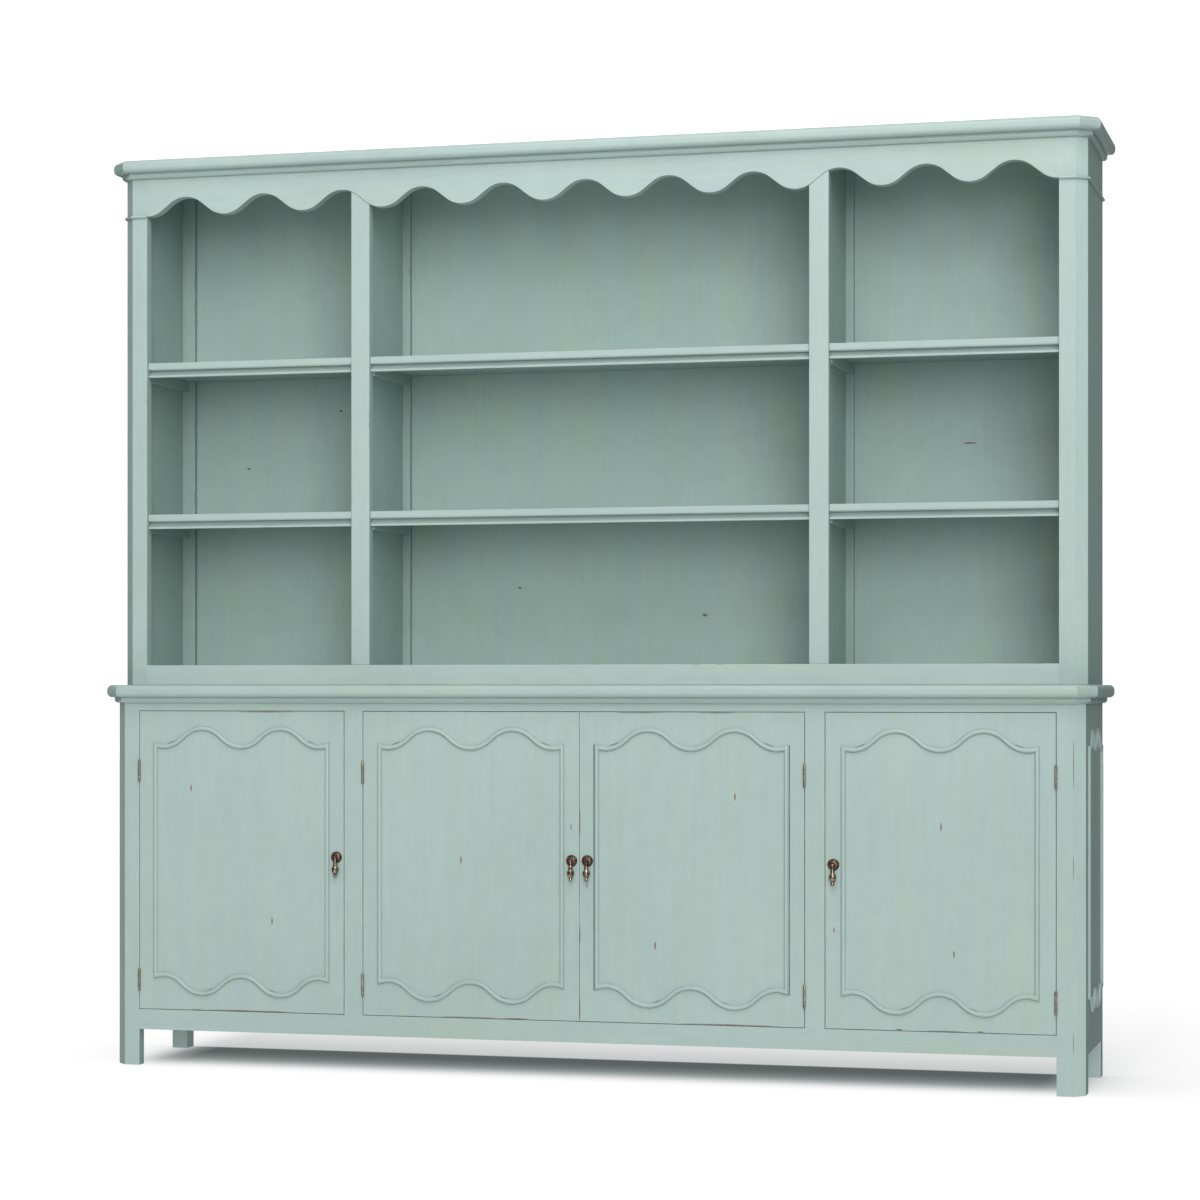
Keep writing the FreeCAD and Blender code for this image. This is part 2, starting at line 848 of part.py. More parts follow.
hutch_divider = board(
    "hutch_divider", (divider_inner, hutch_frame_back, hutch_floor),
    (divider_outer, panel_front, cornice_board_bottom),
)
node("hutch_dividers", both_sides(hutch_divider))

node("hutch_floor_board", [board(
    "rack_floor",
    (-hutch_side_inner, hutch_frame_back, hutch_floor - s.board_thickness),
    (hutch_side_inner, panel_front, hutch_floor),
)])
node("hutch_back_panel", [board(
    "rack_back", (-hutch_side_inner, panel_front, s.waist_height),
    (hutch_side_inner, panel_back, cornice_board_bottom),
)])
node("hutch_back_rails", [
    board(
        "rack_rail_low", (-hutch_side_inner, panel_back, s.waist_height),
        (hutch_side_inner, back, s.waist_height + s.back_rail_height),
    ),
    board(
        "rack_rail_high",
        (-hutch_side_inner, panel_back, cornice_board_bottom - s.back_rail_height),
        (hutch_side_inner, back, cornice_board_bottom),
    ),
])

side_batten_inner = hutch_side_inner - s.side_batten_width
outer_batten_end = divider_outer + s.divider_batten_width
inner_batten_end = divider_inner - s.divider_batten_width
battens = [
    board("batten_side", (side_batten_inner, batten_front, hutch_floor),
          (hutch_side_inner, panel_front, cornice_board_bottom)),
    board("batten_outer", (divider_outer, batten_front, hutch_floor),
          (outer_batten_end, panel_front, cornice_board_bottom)),
    board("batten_inner", (inner_batten_end, batten_front, hutch_floor),
          (divider_inner, panel_front, cornice_board_bottom)),
]
node("hutch_back_battens", [piece for item in battens for piece in both_sides(item)])

bead_right = plan_points(hutch_front, s.bead_proud)
bead_wall = plan_points(hutch_front, ZERO)
bead_path = [(post_inner, hutch_front - s.bead_proud)] + bead_right
bead_path += list(reversed(bead_wall)) + [(post_inner, hutch_front)]
bead = padded("bead", "XY_Plane", [line_to(x, y) for x, y in bead_path], s.bead_height)
chamfered(bead, s.bead_chamfer, proud_edges(hutch_front, (ZERO, s.bead_height)))
place(bead, ZERO, ZERO, valance_foot - s.bead_height / 2)
node("hutch_bead", both_sides(bead))

# Shelves of the rack, notched round the face frame and the battens


def shelf_outline(frame, wall, batten):
    """Each argument holds the left and right places where the shelf meets that piece."""
    near = hutch_front + s.shelf_front_setback
    return [
        line_to(frame[0], near), line_to(frame[1], near),
        line_to(frame[1], hutch_frame_back), line_to(wall[1], hutch_frame_back),
        line_to(wall[1], batten_front), line_to(batten[1], batten_front),
        line_to(batten[1], panel_front), line_to(batten[0], panel_front),
        line_to(batten[0], batten_front), line_to(wall[0], batten_front),
        line_to(wall[0], hutch_frame_back), line_to(frame[0], hutch_frame_back),
    ]


def nosing_outline():
    """A strip under the shelf's front edge that leans out towards its toe."""
    near = hutch_front + s.shelf_front_setback + s.nosing_setback
    far = near + s.nosing_thickness
    return [
        line_to(far, -s.nosing_height),
        line_to(far, ZERO),
        line_to(near + s.nosing_hollow, ZERO),
        line_to(near, -s.nosing_height + s.nosing_toe),
        line_to(near, -s.nosing_height),
    ]


side_frame = (mullion_outer, post_inner)
side_wall = (divider_outer, hutch_side_inner)
side_batten = (outer_batten_end, side_batten_inner)
middle_frame = (-mullion_inner, mullion_inner)
middle_wall = (-divider_inner, divider_inner)
middle_batten = (-inner_batten_end, inner_batten_end)
nosings = []
cleats = []
for tier, shelf_top in (("lower", lower_shelf), ("upper", upper_shelf)):
    side_shelf = padded(
        "side_shelf_" + tier, "XY_Plane", shelf_outline(side_frame, side_wall, side_batten),
        s.board_thickness,
    )
    middle_shelf = padded(
        "middle_shelf_" + tier, "XY_Plane",
        shelf_outline(middle_frame, middle_wall, middle_batten), s.board_thickness,
    )
    for shelf in (side_shelf, middle_shelf):
        place(shelf, ZERO, ZERO, shelf_top - s.board_thickness)
    node("hutch_shelves_" + tier, both_sides(side_shelf) + [middle_shelf])
    side_nosing = padded("side_nosing_" + tier, "YZ_Plane", nosing_outline(), s.side_bay_width)
    place(side_nosing, mullion_outer, ZERO, shelf_top - s.board_thickness)
    middle_nosing = padded(
        "middle_nosing_" + tier, "YZ_Plane", nosing_outline(), 2 * mullion_inner
    )
    place(middle_nosing, -mullion_inner, ZERO, shelf_top - s.board_thickness)
    nosings += both_sides(side_nosing) + [middle_nosing]
    for name, inner, outer in (
        ("side", hutch_side_inner - s.cleat_thickness, hutch_side_inner),
        ("outer", divider_outer, divider_outer + s.cleat_thickness),
        ("inner", divider_inner - s.cleat_thickness, divider_inner),
    ):
        bearer = cleat("cleat_" + name + "_" + tier, inner, outer, hutch_frame_back, batten_front,
                       shelf_top)
        cleats += both_sides(bearer)
node("hutch_shelf_nosings", nosings)
node("hutch_shelf_cleats", cleats)

# Butt hinges, modelled once with the pin along Z, the door to the right of it

knuckle_pitch = s.hinge_length / s.hinge_knuckles
leaf_thickness = (s.door_gap - s.leaf_play) / 2


def hinge_leaf(name, side, knuckles):
    """A plate that lies against its edge board and carries its own knuckles."""
    outer = s.door_gap / 2
    inner = outer - leaf_thickness
    low_x, high_x = (-outer, -inner) if side < 0 else (inner, outer)
    pieces = [board(
        name + "_plate", (low_x, s.knuckle_stand, -s.hinge_length / 2),
        (high_x, s.knuckle_stand + s.leaf_width, s.hinge_length / 2),
    )]
    for number in knuckles:
        bottom = knuckle_pitch * number - s.hinge_length / 2 + s.knuckle_play / 2
        top = bottom + knuckle_pitch - s.knuckle_play
        label = "%s_%d" % (name, number)
        pieces.append(board(label + "_tab", (low_x, ZERO, bottom), (high_x, s.knuckle_stand, top)))
        barrel = sided_rod(
            label + "_barrel", s.knuckle_sides, s.knuckle_radius, top - bottom, UPRIGHT
        )
        pieces.append(place(barrel, ZERO, ZERO, bottom))
    return pieces


frame_leaf_pieces = hinge_leaf("frame_leaf", -1, range(0, HINGE_KNUCKLES, 2))
hinge_pin = rod("hinge_pin", s.hinge_pin_radius, s.hinge_length - s.knuckle_play, UPRIGHT)
place(hinge_pin, ZERO, ZERO, (s.knuckle_play - s.hinge_length) / 2)
frame_leaf = fused("frame_leaf", frame_leaf_pieces + [hinge_pin])

hinge_bore = rod("hinge_bore", s.hinge_pin_radius + s.pin_clearance, s.hinge_length, UPRIGHT)
place(hinge_bore, ZERO, ZERO, -s.hinge_length / 2)
door_leaf = cut(
    "door_leaf", fused("door_leaf_blank", hinge_leaf("door_leaf", 1, range(1, HINGE_KNUCKLES, 2))),
    hinge_bore,
)

hinge_levels = (opening_top - s.hinge_top_drop, opening_bottom + s.hinge_bottom_rise)
hinge_line = front - s.knuckle_stand
outer_hinge = -post_inner + s.door_gap / 2
inner_hinge = -mullion_inner + s.door_gap / 2


def hinge_set(name, piece, places):
    """The upper and lower copies of a hinge piece on each of the given hinge lines."""
    return [
        copy_at("%s_%d%d" % (name, column, row), piece, x, hinge_line, z)
        for column, x in enumerate(places) for row, z in enumerate(hinge_levels)
    ]


left_leaves = hinge_set("frame_leaf", frame_leaf, (outer_hinge, inner_hinge))
left_hinges = doc.addObject("Part::Compound", "left_hinges")
left_hinges.Links = left_leaves
frame_hinges = doc.addObject("Part::Compound", "frame_hinges")
frame_hinges.Links = both_sides(left_hinges)
frame_hinges.Label = "hinge_frame_leaves"
nodes.append((frame_hinges, 2 * len(left_leaves)))

# Drop pull, modelled once with its rosette on the door's face at the origin

ear_inner = s.eye_width / 2 + s.ear_play
ear_outer = ear_inner + s.ear_thickness
rosette_rim = sided_rod(
    "rosette_rim", s.rosette_sides, s.rosette_radius, s.rosette_rim, -INWARD
)
rosette_dome = sided_rod(
    "rosette_dome", s.rosette_sides, s.rosette_dome_radius, s.rosette_dome, -INWARD
)
shank = sided_rod(
    "shank", s.shank_sides, s.shank_radius, s.door_thickness + s.shank_tail, INWARD
)
rosette_pieces = [rosette_rim, rosette_dome, shank]
for name, low_x in (("left", -ear_outer), ("right", ear_inner)):
    rosette_pieces.append(board(
        "ear_" + name, (low_x, -s.pivot_stand - s.eye_radius, -s.eye_radius),
        (low_x + s.ear_thickness, -s.rosette_rim, s.eye_radius),
    ))
pull_pin = rod("pull_pin", s.pull_pin_radius, 2 * ear_inner + s.ear_thickness, SIDEWAYS)
place(pull_pin, -ear_inner - s.ear_thickness / 2, -s.pivot_stand, ZERO)
rosette = fused("rosette", rosette_pieces + [pull_pin])

nut_blank = sided_rod("nut_blank", s.nut_sides, s.nut_radius, s.nut_height, INWARD)
place(nut_blank, ZERO, s.door_thickness, ZERO)
nut_bore = sided_rod(
    "nut_bore", s.shank_sides, s.shank_radius + s.pin_clearance, s.nut_height + 2 * s.overrun,
    INWARD,
)
place(nut_bore, ZERO, s.door_thickness - s.overrun, ZERO)
pull_nut = cut("pull_nut", nut_blank, nut_bore)

drop_side = [
    (s.drop_point_radius, -s.drop_length),
    (s.drop_tip_radius, -s.drop_length * DROP_TIP_SHARE),
    (s.drop_waist_radius, -s.drop_length * DROP_WAIST_SHARE),
    (s.drop_radius, -s.drop_length * DROP_BELLY_SHARE),
    (s.drop_collar_radius, -s.drop_length * DROP_COLLAR_SHARE),
    (s.drop_stem_radius, -s.drop_length * DROP_STEM_SHARE),
    (s.drop_stem_radius, ZERO),
]
drop_outline = [line_to(x, z) for x, z in drop_side]
drop_outline += [line_to(-x, z) for x, z in reversed(drop_side)]
drop_flat = padded("drop_flat", "XZ_Plane", drop_outline, 3 * s.drop_radius)
drop_flat.Tip.Midplane = True
drop_flats = [drop_flat]
for turn in range(1, DROP_FLATS):
    flat = copy_at("drop_flat_%d" % turn, drop_flat, ZERO, ZERO, ZERO)
    flat.Placement.Rotation = Rotation(UPRIGHT, 180 * turn / DROP_FLATS)
    drop_flats.append(flat)
drop_body = doc.addObject("Part::MultiCommon", "drop_body")
drop_body.Shapes = drop_flats
drop_body.Refine = True
drop_eye = sided_rod("drop_eye", s.knuckle_sides, s.eye_radius, s.eye_width, SIDEWAYS)
place(drop_eye, -s.eye_width / 2, ZERO, ZERO)
drop_bore = rod(
    "drop_bore", s.pull_pin_radius + s.pin_clearance, s.eye_width + 2 * s.overrun, SIDEWAYS
)
place(drop_bore, -s.eye_width / 2 - s.overrun, ZERO, ZERO)
pull_drop = cut("pull_drop", fused("drop_blank", [drop_body, drop_eye]), drop_bore)

# Doors: the two left-hand ones are built, and the right-hand ones mirror them

def door(number, twin, left_edge, right_edge, hinge_x):
    """One inset door hung on its left edge, with its twin on the other side."""
    name = "door_%d" % number
    middle = worked(name + "_middle", (left_edge + right_edge) / 2)
    half = worked(name + "_half", (right_edge - left_edge) / 2)
    opening_half = worked(name + "_opening_half", half - centre_inset)
    pitch = (opening_half - s.shoulder_flat) * 2 / s.moulding_humps
    form = scallop_form(name + "_scallop", pitch, s.scallop_rise, DOOR_SLOPE_SHARE)
    shank_hole = (half - s.pull_edge_inset, pull_level, s.shank_radius + s.shank_clearance)
    stiles = []
    for hand, low_x, circles in (("left", -half, ()), ("right", opening_half, (shank_hole,))):
        high_x = low_x + centre_inset
        stiles.append(padded(
            name + "_stile_" + hand, "XZ_Plane",
            [line_to(low_x, door_bottom), line_to(high_x, door_bottom),
             line_to(high_x, door_top), line_to(low_x, door_top)],
            s.door_thickness, reverse=True, circles=circles,
        ))
    top_rail = padded(
        name + "_top_rail", "XZ_Plane",
        sawn_rail(form, opening_half, high_shoulder, door_top, 1),
        s.door_thickness, reverse=True,
    )
    bottom_rail = padded(
        name + "_bottom_rail", "XZ_Plane",
        sawn_rail(form, opening_half, low_shoulder, door_bottom, -1),
        s.door_thickness, reverse=True,
    )
    panel = padded(
        name + "_panel_board", "XZ_Plane",
        scalloped_ring(form, opening_half, low_shoulder, high_shoulder, -s.panel_float, RAIL_CUTS),
        s.door_panel_thickness, reverse=True,
    )
    moulding = ring_moulding(name + "_ring", "XZ_Plane", form, opening_half, DOOR_MOULDING_CUTS)
    for piece in stiles + [top_rail, bottom_rail, panel, moulding]:
        place(piece, middle, front, ZERO)
    pull_x = right_edge - s.pull_edge_inset
    rosette_here = copy_at(name + "_rosette", rosette, pull_x, front, pull_level)
    nut_here = copy_at(name + "_nut", pull_nut, pull_x, front, pull_level)
    drop_here = copy_at(name + "_drop", pull_drop, pull_x, front - s.pivot_stand, pull_level)
    groups = (
        ("frame", stiles + [top_rail, bottom_rail]),
        ("panel", [panel]),
        ("moulding", [moulding]),
        ("hinge_leaves", hinge_set(name + "_leaf", door_leaf, (hinge_x,))),
        ("pull_rosette", [rosette_here, nut_here]),
        ("pull_drop", [drop_here]),
    )
    for group, pieces in groups:
        item = node("%s_%s" % (name, group), pieces)
        mirrored_node("door_%d_%s" % (twin, group), item, len(pieces))


door(1, 4, -post_inner + s.door_gap, -mullion_outer - s.door_gap, outer_hinge)
door(2, 3, -mullion_inner + s.door_gap, -s.door_gap / 2, inner_hinge)

# Sprung catches behind the top rail, which also stop the doors

catch_level = opening_top - s.catch_reach / 2
door_back = front + s.door_thickness


def catch(name, middle):
    """A block on the back of the top rail whose nose meets the closed door."""
    block = board(
        name + "_block",
        (middle - s.catch_width / 2, frame_back, opening_top - s.catch_reach),
        (middle + s.catch_width / 2, frame_back + s.catch_depth, waist_board_bottom),
    )
    near = door_back + s.catch_play
    nose = sided_rod(
        name + "_nose", s.knuckle_sides, s.catch_nose_radius, frame_back - near + s.catch_depth / 2,
        INWARD,
    )
    place(nose, middle, near, catch_level)
    return fused(name, [block, nose])


catches = []
for name, free_edge in (("outer_catch", mullion_outer + s.door_gap), ("inner_catch", s.door_gap / 2)):
    catches += both_sides(catch(name, free_edge + s.catch_inset))
node("door_catches", catches)

# Check every object and write one file for each sub-part

doc.recompute()
failed = [item.Name for item in doc.Objects if "Invalid" in item.State or "Error" in item.State]
if failed:
    raise RuntimeError("these objects did not recompute: " + ", ".join(failed))
for item, count in nodes:
    shape = item.Shape
    if shape.isNull() or not shape.isValid():
        raise RuntimeError(item.Label + " has no valid shape")
    if len(shape.Solids) != count:
        raise RuntimeError("%s has %d solids, not %d" % (item.Label, len(shape.Solids), count))
for item, count in nodes:
    item.Shape.exportStep("parts/" + item.Label + ".step")
print("%d sub-parts, %d solids" % (len(nodes), sum(count for item, count in nodes)))
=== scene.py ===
# %% [markdown]
# # An open-fronted hutch, dressed in Blender
#
# The joinery comes packed from CAD as a fixed frame: every board, door and hinge already
# has its size and place. This lesson gives it its looks: eased board edges, rounded
# mouldings, turned brass pulls, brushed paint that is rubbed through along the edges, and
# a plain studio. Everything is in metres, +X to the right, +Y to the wall, +Z up.

# %% Load the frame
import json
import math
import random

import bpy
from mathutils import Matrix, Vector


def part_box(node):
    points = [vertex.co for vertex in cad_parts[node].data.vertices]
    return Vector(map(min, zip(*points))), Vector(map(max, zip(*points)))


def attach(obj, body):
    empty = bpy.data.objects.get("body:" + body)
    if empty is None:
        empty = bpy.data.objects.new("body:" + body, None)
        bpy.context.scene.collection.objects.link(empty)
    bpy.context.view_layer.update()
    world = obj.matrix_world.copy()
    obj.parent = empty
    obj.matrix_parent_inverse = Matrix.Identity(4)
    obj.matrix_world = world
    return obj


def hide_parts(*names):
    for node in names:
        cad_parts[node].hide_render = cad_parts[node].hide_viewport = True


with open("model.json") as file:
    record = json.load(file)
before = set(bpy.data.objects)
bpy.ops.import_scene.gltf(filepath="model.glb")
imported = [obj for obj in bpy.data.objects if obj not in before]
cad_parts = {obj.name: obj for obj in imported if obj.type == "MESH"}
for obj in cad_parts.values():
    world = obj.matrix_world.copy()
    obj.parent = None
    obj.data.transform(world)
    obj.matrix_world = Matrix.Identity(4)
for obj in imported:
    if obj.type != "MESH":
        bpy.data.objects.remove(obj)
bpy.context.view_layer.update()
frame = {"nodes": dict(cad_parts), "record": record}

# %% [markdown]
# ## The camera comes first
#
# The photograph was taken from the hutch's right, from chest height, with a long lens
# and the camera level: all uprights are parallel. The horizon lies below the middle of
# the picture, so the lens is shifted instead of the camera being tipped.

# %% Camera
SENSOR_WIDTH = 36
LENS = 91.633
LENS_SHIFT = 0.07376
CAMERA_PLACE = (1.89528, -7.05383, 0.91335)
CAMERA_TURN = 15.0377

camera_data = bpy.data.cameras.new("camera")
camera = bpy.data.objects.new("camera", camera_data)
bpy.context.collection.objects.link(camera)
bpy.context.scene.camera = camera
camera_data.sensor_width = SENSOR_WIDTH
camera_data.lens = LENS
camera_data.shift_y = LENS_SHIFT
camera_data.clip_end = 100
camera.location = CAMERA_PLACE
camera.rotation_euler = (math.radians(90), 0, math.radians(CAMERA_TURN))
print("camera at", tuple(round(value, 3) for value in camera.location))

# %% [markdown]
# ## Brushed paint
#
# The real finish is a soft blue-green paint, brushed along each board and rubbed back.
# One function mixes it from noise. A noise that is stretched along the board makes the
# brush marks, a broad one lets the hue drift between blue and green, and a fine one
# gives the bump. The streaks have to follow each board, so the paint is made three
# times: upright, across and from front to back. Four tints hold painted light and shade:
# a greener one for painted bounce light inside the rack, a darker one for painted shade in
# its back corners, a lighter one for painted light on the canted corners on the right, and
# a lighter one for painted bounce light on the rail under the rack's opening.

# %% Paint
PAINT_BLUE = (0.242, 0.345, 0.326, 1)
PAINT_GREEN = (0.248, 0.352, 0.312, 1)
BARE_WOOD = (0.165, 0.098, 0.055, 1)
GRAIN_SCALES = {
    "upright": (95, 95, 7),
    "across": (7, 95, 95),
    "inward": (95, 7, 95),
}
BROAD_SHARE = 0.28
# Noises: scale, detail and roughness. Ranges: from, to, and what that becomes.
DRIFT_NOISE, HUE_DRIFT = (1, 3, 0.6), (0.38, 0.62, 0, 1)
SLOW_NOISE, SLOW_SHADES = (2.3, 2), (0.36, 0.64, 0.972, 1.02)
STREAK_NOISE, STREAK_SHADES = (1, 6, 0.72), (0.25, 0.75, 0.955, 1.04)
CLOUD_NOISE, CLOUD_SHADES = (22, 5, 0.65), (0.3, 0.7, 0.972, 1.025)
ROUGH_NOISE, PAINT_ROUGHNESS = (30, 3), (0.3, 0.7, 0.5, 0.62)
BRUSH_NOISE, BRUSH_DEPTH, BRUSH_STRENGTH = (1, 4, 0.6), 0.0003, 0.5
# Painted bounce light: a greener tint for the boards inside the rack.
PAINTED_INSIDE_BOUNCE_TINT = (0.955, 1.03, 1.0, 1)
# Painted shade: a darker tint for the battens in the rack's back corners.
PAINTED_CORNER_SHADE_TINT = (0.84, 0.90, 0.875, 1)
# Painted light: a lighter tint for the canted faces on the right.
PAINTED_CANT_LIGHT_TINT = (1.2, 1.2, 1.2, 1)
# Painted bounce light: a lighter tint for the rail under the rack's opening.
PAINTED_SILL_BOUNCE_TINT = (1.1, 1.09, 1.09, 1)


def new_material(name):
    """A material with nodes, and its node tree and shader."""
    material = bpy.data.materials.new(name)
    material.use_nodes = True
    tree = material.node_tree
    return material, tree, tree.nodes["Principled BSDF"]


def feed(tree, socket, source):
    """Links a socket to its source, or sets it when the source is a fixed value."""
    if isinstance(source, bpy.types.NodeSocket):
        tree.links.new(source, socket)
    else:
        socket.default_value = source


def surface(tree, shader, colour, roughness):
    """Gives a material its colour and roughness."""
    feed(tree, shader.inputs["Base Color"], colour)
    feed(tree, shader.inputs["Roughness"], roughness)


def noise(tree, scale, detail, roughness=0.5, stretch=(1, 1, 1)):
    """A noise in the piece's own metres; stretch is its frequency along each axis."""
    place = tree.nodes.new("ShaderNodeTexCoord")
    mapping = tree.nodes.new("ShaderNodeMapping")
    mapping.inputs["Scale"].default_value = stretch
    tree.links.new(place.outputs["Object"], mapping.inputs["Vector"])
    texture = tree.nodes.new("ShaderNodeTexNoise")
    texture.inputs["Scale"].default_value = scale
    texture.inputs["Detail"].default_value = detail
    texture.inputs["Roughness"].default_value = roughness
    tree.links.new(mapping.outputs["Vector"], texture.inputs["Vector"])
    return texture.outputs["Fac"]


def remap(tree, value, low, high, new_low, new_high):
    """Stretches a value from one range to another, and clamps it there."""
    node = tree.nodes.new("ShaderNodeMapRange")
    node.inputs["From Min"].default_value = low
    node.inputs["From Max"].default_value = high
    node.inputs["To Min"].default_value = new_low
    node.inputs["To Max"].default_value = new_high
    tree.links.new(value, node.inputs["Value"])
    return node.outputs["Result"]


def blend_colours(tree, amount, first, second, kind="MIX"):
    """Mixes two colours by an amount."""
    node = tree.nodes.new("ShaderNodeMix")
    node.data_type = "RGBA"
    node.blend_type = kind
    for socket, source in ((0, amount), (6, first), (7, second)):
        feed(tree, node.inputs[socket], source)
    return node.outputs[2]


def shaded(tree, colour, value):
    """A colour multiplied by a value, which is first made a grey."""
    node = tree.nodes.new("ShaderNodeCombineColor")
    for socket in node.inputs:
        tree.links.new(value, socket)
    return blend_colours(tree, 1.0, colour, node.outputs[0], "MULTIPLY")


def add_bump(tree, shader, height, distance, strength):
    """Lets a height shade the surface as if it were raised by that distance."""
    node = tree.nodes.new("ShaderNodeBump")
    node.inputs["Distance"].default_value = distance
    node.inputs["Strength"].default_value = strength
    tree.links.new(height, node.inputs["Height"])
    tree.links.new(node.outputs["Normal"], shader.inputs["Normal"])


def paint_colour(tree, grain):
    """The paint's colour: drifting hue, brush streaks of two widths and a fine cloud."""
    stretch = GRAIN_SCALES[grain]
    broad_stretch = tuple(value * BROAD_SHARE for value in stretch)
    drift = remap(tree, noise(tree, *DRIFT_NOISE, broad_stretch), *HUE_DRIFT)
    colour = blend_colours(tree, drift, PAINT_GREEN, PAINT_BLUE)
    colour = shaded(tree, colour, remap(tree, noise(tree, *SLOW_NOISE), *SLOW_SHADES))
    streaks = remap(tree, noise(tree, *STREAK_NOISE, stretch), *STREAK_SHADES)
    colour = shaded(tree, colour, streaks)
    return shaded(tree, colour, remap(tree, noise(tree, *CLOUD_NOISE), *CLOUD_SHADES))


def painted_wood(grain, kind="", tint=None):
    """The hutch's paint, brushed along the grain; a tint multiplies its colour."""
    material, tree, shader = new_material("paint_" + grain + kind)
    colour = paint_colour(tree, grain)
    if tint:
        colour = blend_colours(tree, 1.0, colour, tint, "MULTIPLY")
    surface(tree, shader, colour, remap(tree, noise(tree, *ROUGH_NOISE), *PAINT_ROUGHNESS))
    brush_marks = noise(tree, *BRUSH_NOISE, GRAIN_SCALES[grain])
    add_bump(tree, shader, brush_marks, BRUSH_DEPTH, BRUSH_STRENGTH)
    return material


paints = {grain: painted_wood(grain) for grain in GRAIN_SCALES}
# Tinted copies of the paint: painted bounce light inside the rack and on the sill rail, painted
# shade in the back corners, painted light on the right-hand cants.
painted_bounce_paints = {grain: painted_wood(grain, "_painted_bounce", PAINTED_INSIDE_BOUNCE_TINT) for grain in GRAIN_SCALES}
painted_light_paint = painted_wood("upright", "_light", PAINTED_CANT_LIGHT_TINT)
painted_sill_bounce_paint = painted_wood("across", "_painted_sill_light", PAINTED_SILL_BOUNCE_TINT)
painted_corner_shade_paint = painted_wood("upright", "_painted_corner_shade", PAINTED_CORNER_SHADE_TINT)
print("paints:", sorted(paints))

# %% [markdown]
# ## Rubbed edges
#
# Sandpaper takes the paint off where it stands proud, so brown wood shows in short
# lengths along the edges. The same paint colour is mixed with bare wood, and a slow
# noise decides where it is rubbed through.

# %% Rubbed paint
BOARD_WEAR = 0.12
RIM_WEAR = 0.28
WEAR_NOISE = (7, 6, 0.7)
WORN_FROM, WORN_TO = 0.72, 0.76
MOST_BARE = 0.85
DRY_ROUGHNESS = 0.6


def rubbed_paint(grain, share):
    """Paint for the narrow faces along an edge; share is how much is rubbed through."""
    material, tree, shader = new_material("rubbed_%s_%d" % (grain, round(share * 100)))
    colour = paint_colour(tree, grain)
    slow = noise(tree, *WEAR_NOISE)
    bare = remap(tree, slow, WORN_FROM - share, WORN_TO - share, 0, MOST_BARE)
    surface(tree, shader, blend_colours(tree, bare, colour, BARE_WOOD), DRY_ROUGHNESS)
    return material


rubbed = {grain: rubbed_paint(grain, BOARD_WEAR) for grain in GRAIN_SCALES}
worn_rim = rubbed_paint("upright", RIM_WEAR)
print("rubbed paints:", sorted(rubbed))

# %% [markdown]
# ## Eased board edges
#
# No joiner leaves a board's edge knife-sharp. The boards are listed by the way their grain
# runs. Slim ones get a finer edge, and those inside the rack the greener paint, which is
# painted bounce light.

# %% Boards and their grain
EASED_NODES = {
    "upright": [
        "base_front_posts", "base_back_legs", "base_mullions", "base_partitions",
        "hutch_posts", "hutch_mullions", "hutch_sides", "hutch_dividers", "hutch_back_battens",
    ],
    "across": [
        "base_top_rail", "base_bottom_rail", "base_back_rails", "base_floor_board",
        "base_shelves", "waist_fillet", "waist_board", "hutch_bottom_rail", "hutch_valance",
        "hutch_bead", "hutch_floor_board", "hutch_shelves_lower", "hutch_shelves_upper",
        "hutch_back_rails", "cornice_fillet", "cornice_board",
    ],
    "inward": ["base_shelf_cleats", "hutch_shelf_cleats", "base_side_rails"],
}
FINE_NODES = {
    "hutch_bead", "waist_fillet", "cornice_fillet", "base_side_rails", "base_mullions",
    "base_front_posts", "base_top_rail", "base_bottom_rail",
}
# These boards inside the rack take the greener tint, painted bounce light.
INNER_NODES = {
    "hutch_sides", "hutch_dividers", "hutch_back_battens", "hutch_shelf_cleats",
    "hutch_floor_board", "hutch_back_panel",
}
CANTED_NODES = {"base_front_posts", "hutch_posts"}
body_of_node = {
    node: body for body, nodes in frame["record"]["behaviour"]["bodies"].items() for node in nodes
}
print("boards:", sum(len(names) for names in EASED_NODES.values()))

# %% [markdown]
# ## Where boards meet flush
#
# Where a rail meets a post flush, the joint is filled and painted over, so the edges there
# stay sharp. These levels say where the face frame's boards meet. At the seams a long edge
# is cut across, so that its bevel can end a few millimetres beside the joint.

# %% Levels of the face frame
POST_INNER = 1.108
MULLION_INNER = 0.535
MULLION_OUTER = 0.581
FOOT_TOP = 0.087
OPENING_BOTTOM = 0.136
OPENING_TOP = 0.860
UNDER_WAIST = 0.892
WAIST_TOP = 0.922
HUTCH_SILL = 0.970
VALANCE_FOOT = 2.065
UNDER_CORNICE = 2.170
FRAME_BACK = -0.130
SEAM_END = 0.003
NEAR = 1e-4
RAIL_LEVELS = (
    (FOOT_TOP, OPENING_BOTTOM), (OPENING_TOP, UNDER_WAIST), (WAIST_TOP, HUTCH_SILL),
    (VALANCE_FOOT, UNDER_CORNICE),
)
RAIL_SEAMS = (
    -MULLION_OUTER, SEAM_END - MULLION_OUTER, -SEAM_END - MULLION_INNER, -MULLION_INNER,
    MULLION_INNER, MULLION_INNER + SEAM_END, MULLION_OUTER - SEAM_END, MULLION_OUTER,
)
SEAMS = {
    "base_front_posts": (2, (
        FOOT_TOP, FOOT_TOP + SEAM_END, OPENING_BOTTOM - SEAM_END, OPENING_BOTTOM, OPENING_TOP,
        OPENING_TOP + SEAM_END,
    )),
    "hutch_posts": (2, (HUTCH_SILL - SEAM_END, HUTCH_SILL, VALANCE_FOOT, VALANCE_FOOT + SEAM_END)),
    "base_top_rail": (0, RAIL_SEAMS),
    "base_bottom_rail": (0, RAIL_SEAMS),
}
print("boards with seams:", sorted(SEAMS))

